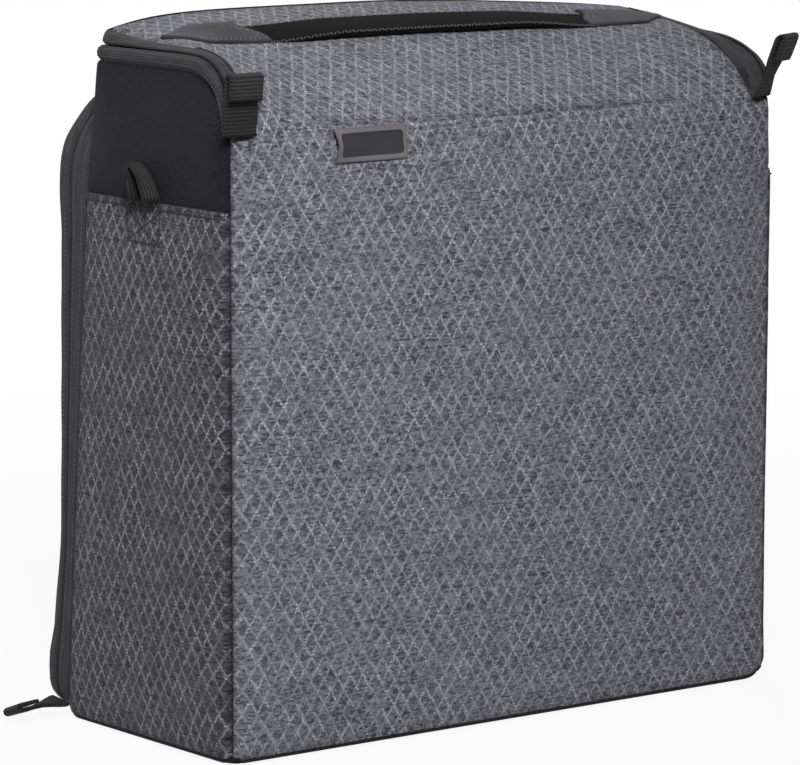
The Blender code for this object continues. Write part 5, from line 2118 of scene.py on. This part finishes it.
def sew_lid_zip():
    count = len(meeting_rail)
    for owner, rail, bow, shares, slot in (
        ("lower", tub_rail, lower_bow, (0.22, 0.70), "tub"),
        ("upper", lid_edge_rail, upper_bow, (0.30,), "lid"),
    ):
        rows = []
        for share in shares:
            row = []
            for index in range(2, count - 2):
                meet, edge, way, outward = zip_frame(index, rail)
                if (edge - meet).length < 2.6 * mm:
                    continue
                bulge = bow * math.sin(math.pi * share) + 0.05 * mm
                row.append((edge.lerp(meet, share) + outward * bulge, outward))
            rows.append(row)
        sew(owner + "_zip_stitches", rows, slot, "zip_tape", tape_thread,
            2.0 * mm, 1.1 * mm, 0.38 * mm)
    for owner, sign in (("tub", -1), ("lid", 1)):
        row = []
        for index in range(8, count - 8):
            meet, edge, way, outward = zip_frame(index, tub_rail)
            lid_way = (lid_edge_rail[index] - meet).normalized()
            fold = (lid_way - way).normalized()
            row.append((meet + fold * sign * 1.3 * mm - outward * 2.0 * mm, outward))
        sew_teeth("lid_zip_" + owner + "_coil", row, owner)


def hoop_row(spots, depth, lift=0.0):
    """A row round the arch at a depth behind the back."""
    row = []
    for x, z in spots:
        away = Vector((x, 0, z - arch_middle)).normalized()
        row.append((swollen(x, depth, z) + away * lift, away))
    return row


def sew_back_zip():
    ring = arch_loop(0)
    ring += ring[:1]
    sizes = (2.2 * mm, 1.3 * mm, 0.42 * mm)
    rows = [hoop_row(ring, 2.2 * mm, 0.75 * mm), hoop_row(ring, 6.2 * mm, 0.65 * mm)]
    sew("gusset_stitches", rows, "tub", "zip_tape", tape_thread, *sizes)
    rows = [hoop_row(ring, 10.6 * mm, 0.75 * mm)]
    sew("door_zip_stitches", rows, "back_door", "zip_tape", tape_thread, *sizes)
    high = [(x, z) for x, z in arch_loop(2.1 * mm) if z > 14 * mm]
    high = [spot for spot in high if spot[0] > 0] + [spot for spot in high if spot[0] <= 0]
    sew_teeth("back_zip_gusset_coil", hoop_row(high, zip_depth - 1.4 * mm), "tub")
    sew_teeth("back_zip_door_coil", hoop_row(high, zip_depth + 1.4 * mm), "back_door")


tape_thread = thread("tape_thread", colour(92, 92, 96))
sew_lid_zip()
sew_back_zip()

# %% [markdown]
# ## Lining
# The inside is lined with brushed cloth. It is drawn tight over the walls and the floor,
# so it is one thin sheet over both, with the real cloth's thickness and nothing to swell.

# %% Lining skin
lining_top = seam_height - 1 * mm


def make_lining():
    """One cloth over the left side, the front and the right side, and one on the floor."""
    bm = bmesh.new()
    bm.verts.layers.float.new("edge")

    def rear(z):
        return back_y(z) - wall - 0.3 * mm

    def lay(place, columns, rows):
        grid = [[bm.verts.new(place(i / columns, j / rows)) for j in range(rows + 1)]
                for i in range(columns + 1)]
        for i in range(columns):
            for j in range(rows):
                bm.faces.new((grid[i][j], grid[i + 1][j], grid[i + 1][j + 1], grid[i][j + 1]))

    def left(u, v):
        z = between(inner_floor, lining_top, v)
        return (-inner_half, between(rear(z), inner_front, u), z)

    def right(u, v):
        x, y, z = left(1 - u, v)
        return (inner_half, y, z)

    def front_wall(u, v):
        z = between(inner_floor, lining_top, v)
        return (between(-inner_half, inner_half, u), inner_front, z)

    def floor(u, v):
        x, y, z = left(1 - v, 0)
        return (between(-inner_half, inner_half, u), y, inner_floor)

    lay(left, 20, 44)
    lay(front_wall, 50, 44)
    lay(right, 20, 44)
    lay(floor, 50, 20)
    bmesh.ops.remove_doubles(bm, verts=bm.verts, dist=0.00005)
    bmesh.ops.recalc_face_normals(bm, faces=bm.faces)
    item = from_faces("lining_cloth", bm, inner_lining)
    item.data.shade_smooth()
    skin = item.modifiers.new("cloth", "SOLIDIFY")
    skin.thickness = 0.8 * mm
    skin.offset = -1
    skin.use_even_offset = True
    return wear(item, "tub", "lining", "interior_lining")


make_lining()


# %% [markdown]
# ## Hardware
# The sliders are cast metal and their pulls are short straps. Their CAD shapes are right
# and they have to follow their joints exactly, so they keep those shapes and get a
# better finish.

# %% Finish of the carried nodes
for name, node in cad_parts.items():
    if node.hide_render:
        continue
    for place in node.material_slots:
        place.material = slider_metal if "slider" in name else pull_cloth
    print("carried", name)

# %% [markdown]
# ## Sizes
# Both boxes, the CAD model's and the dressed part's, are printed side by side. The
# dressed part has to stay close to the CAD model's box.

# %% Sizes and finish
low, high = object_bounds()
for part in (cad_low, low, cad_high, high):
    print([round(value * 1000, 1) for value in part])
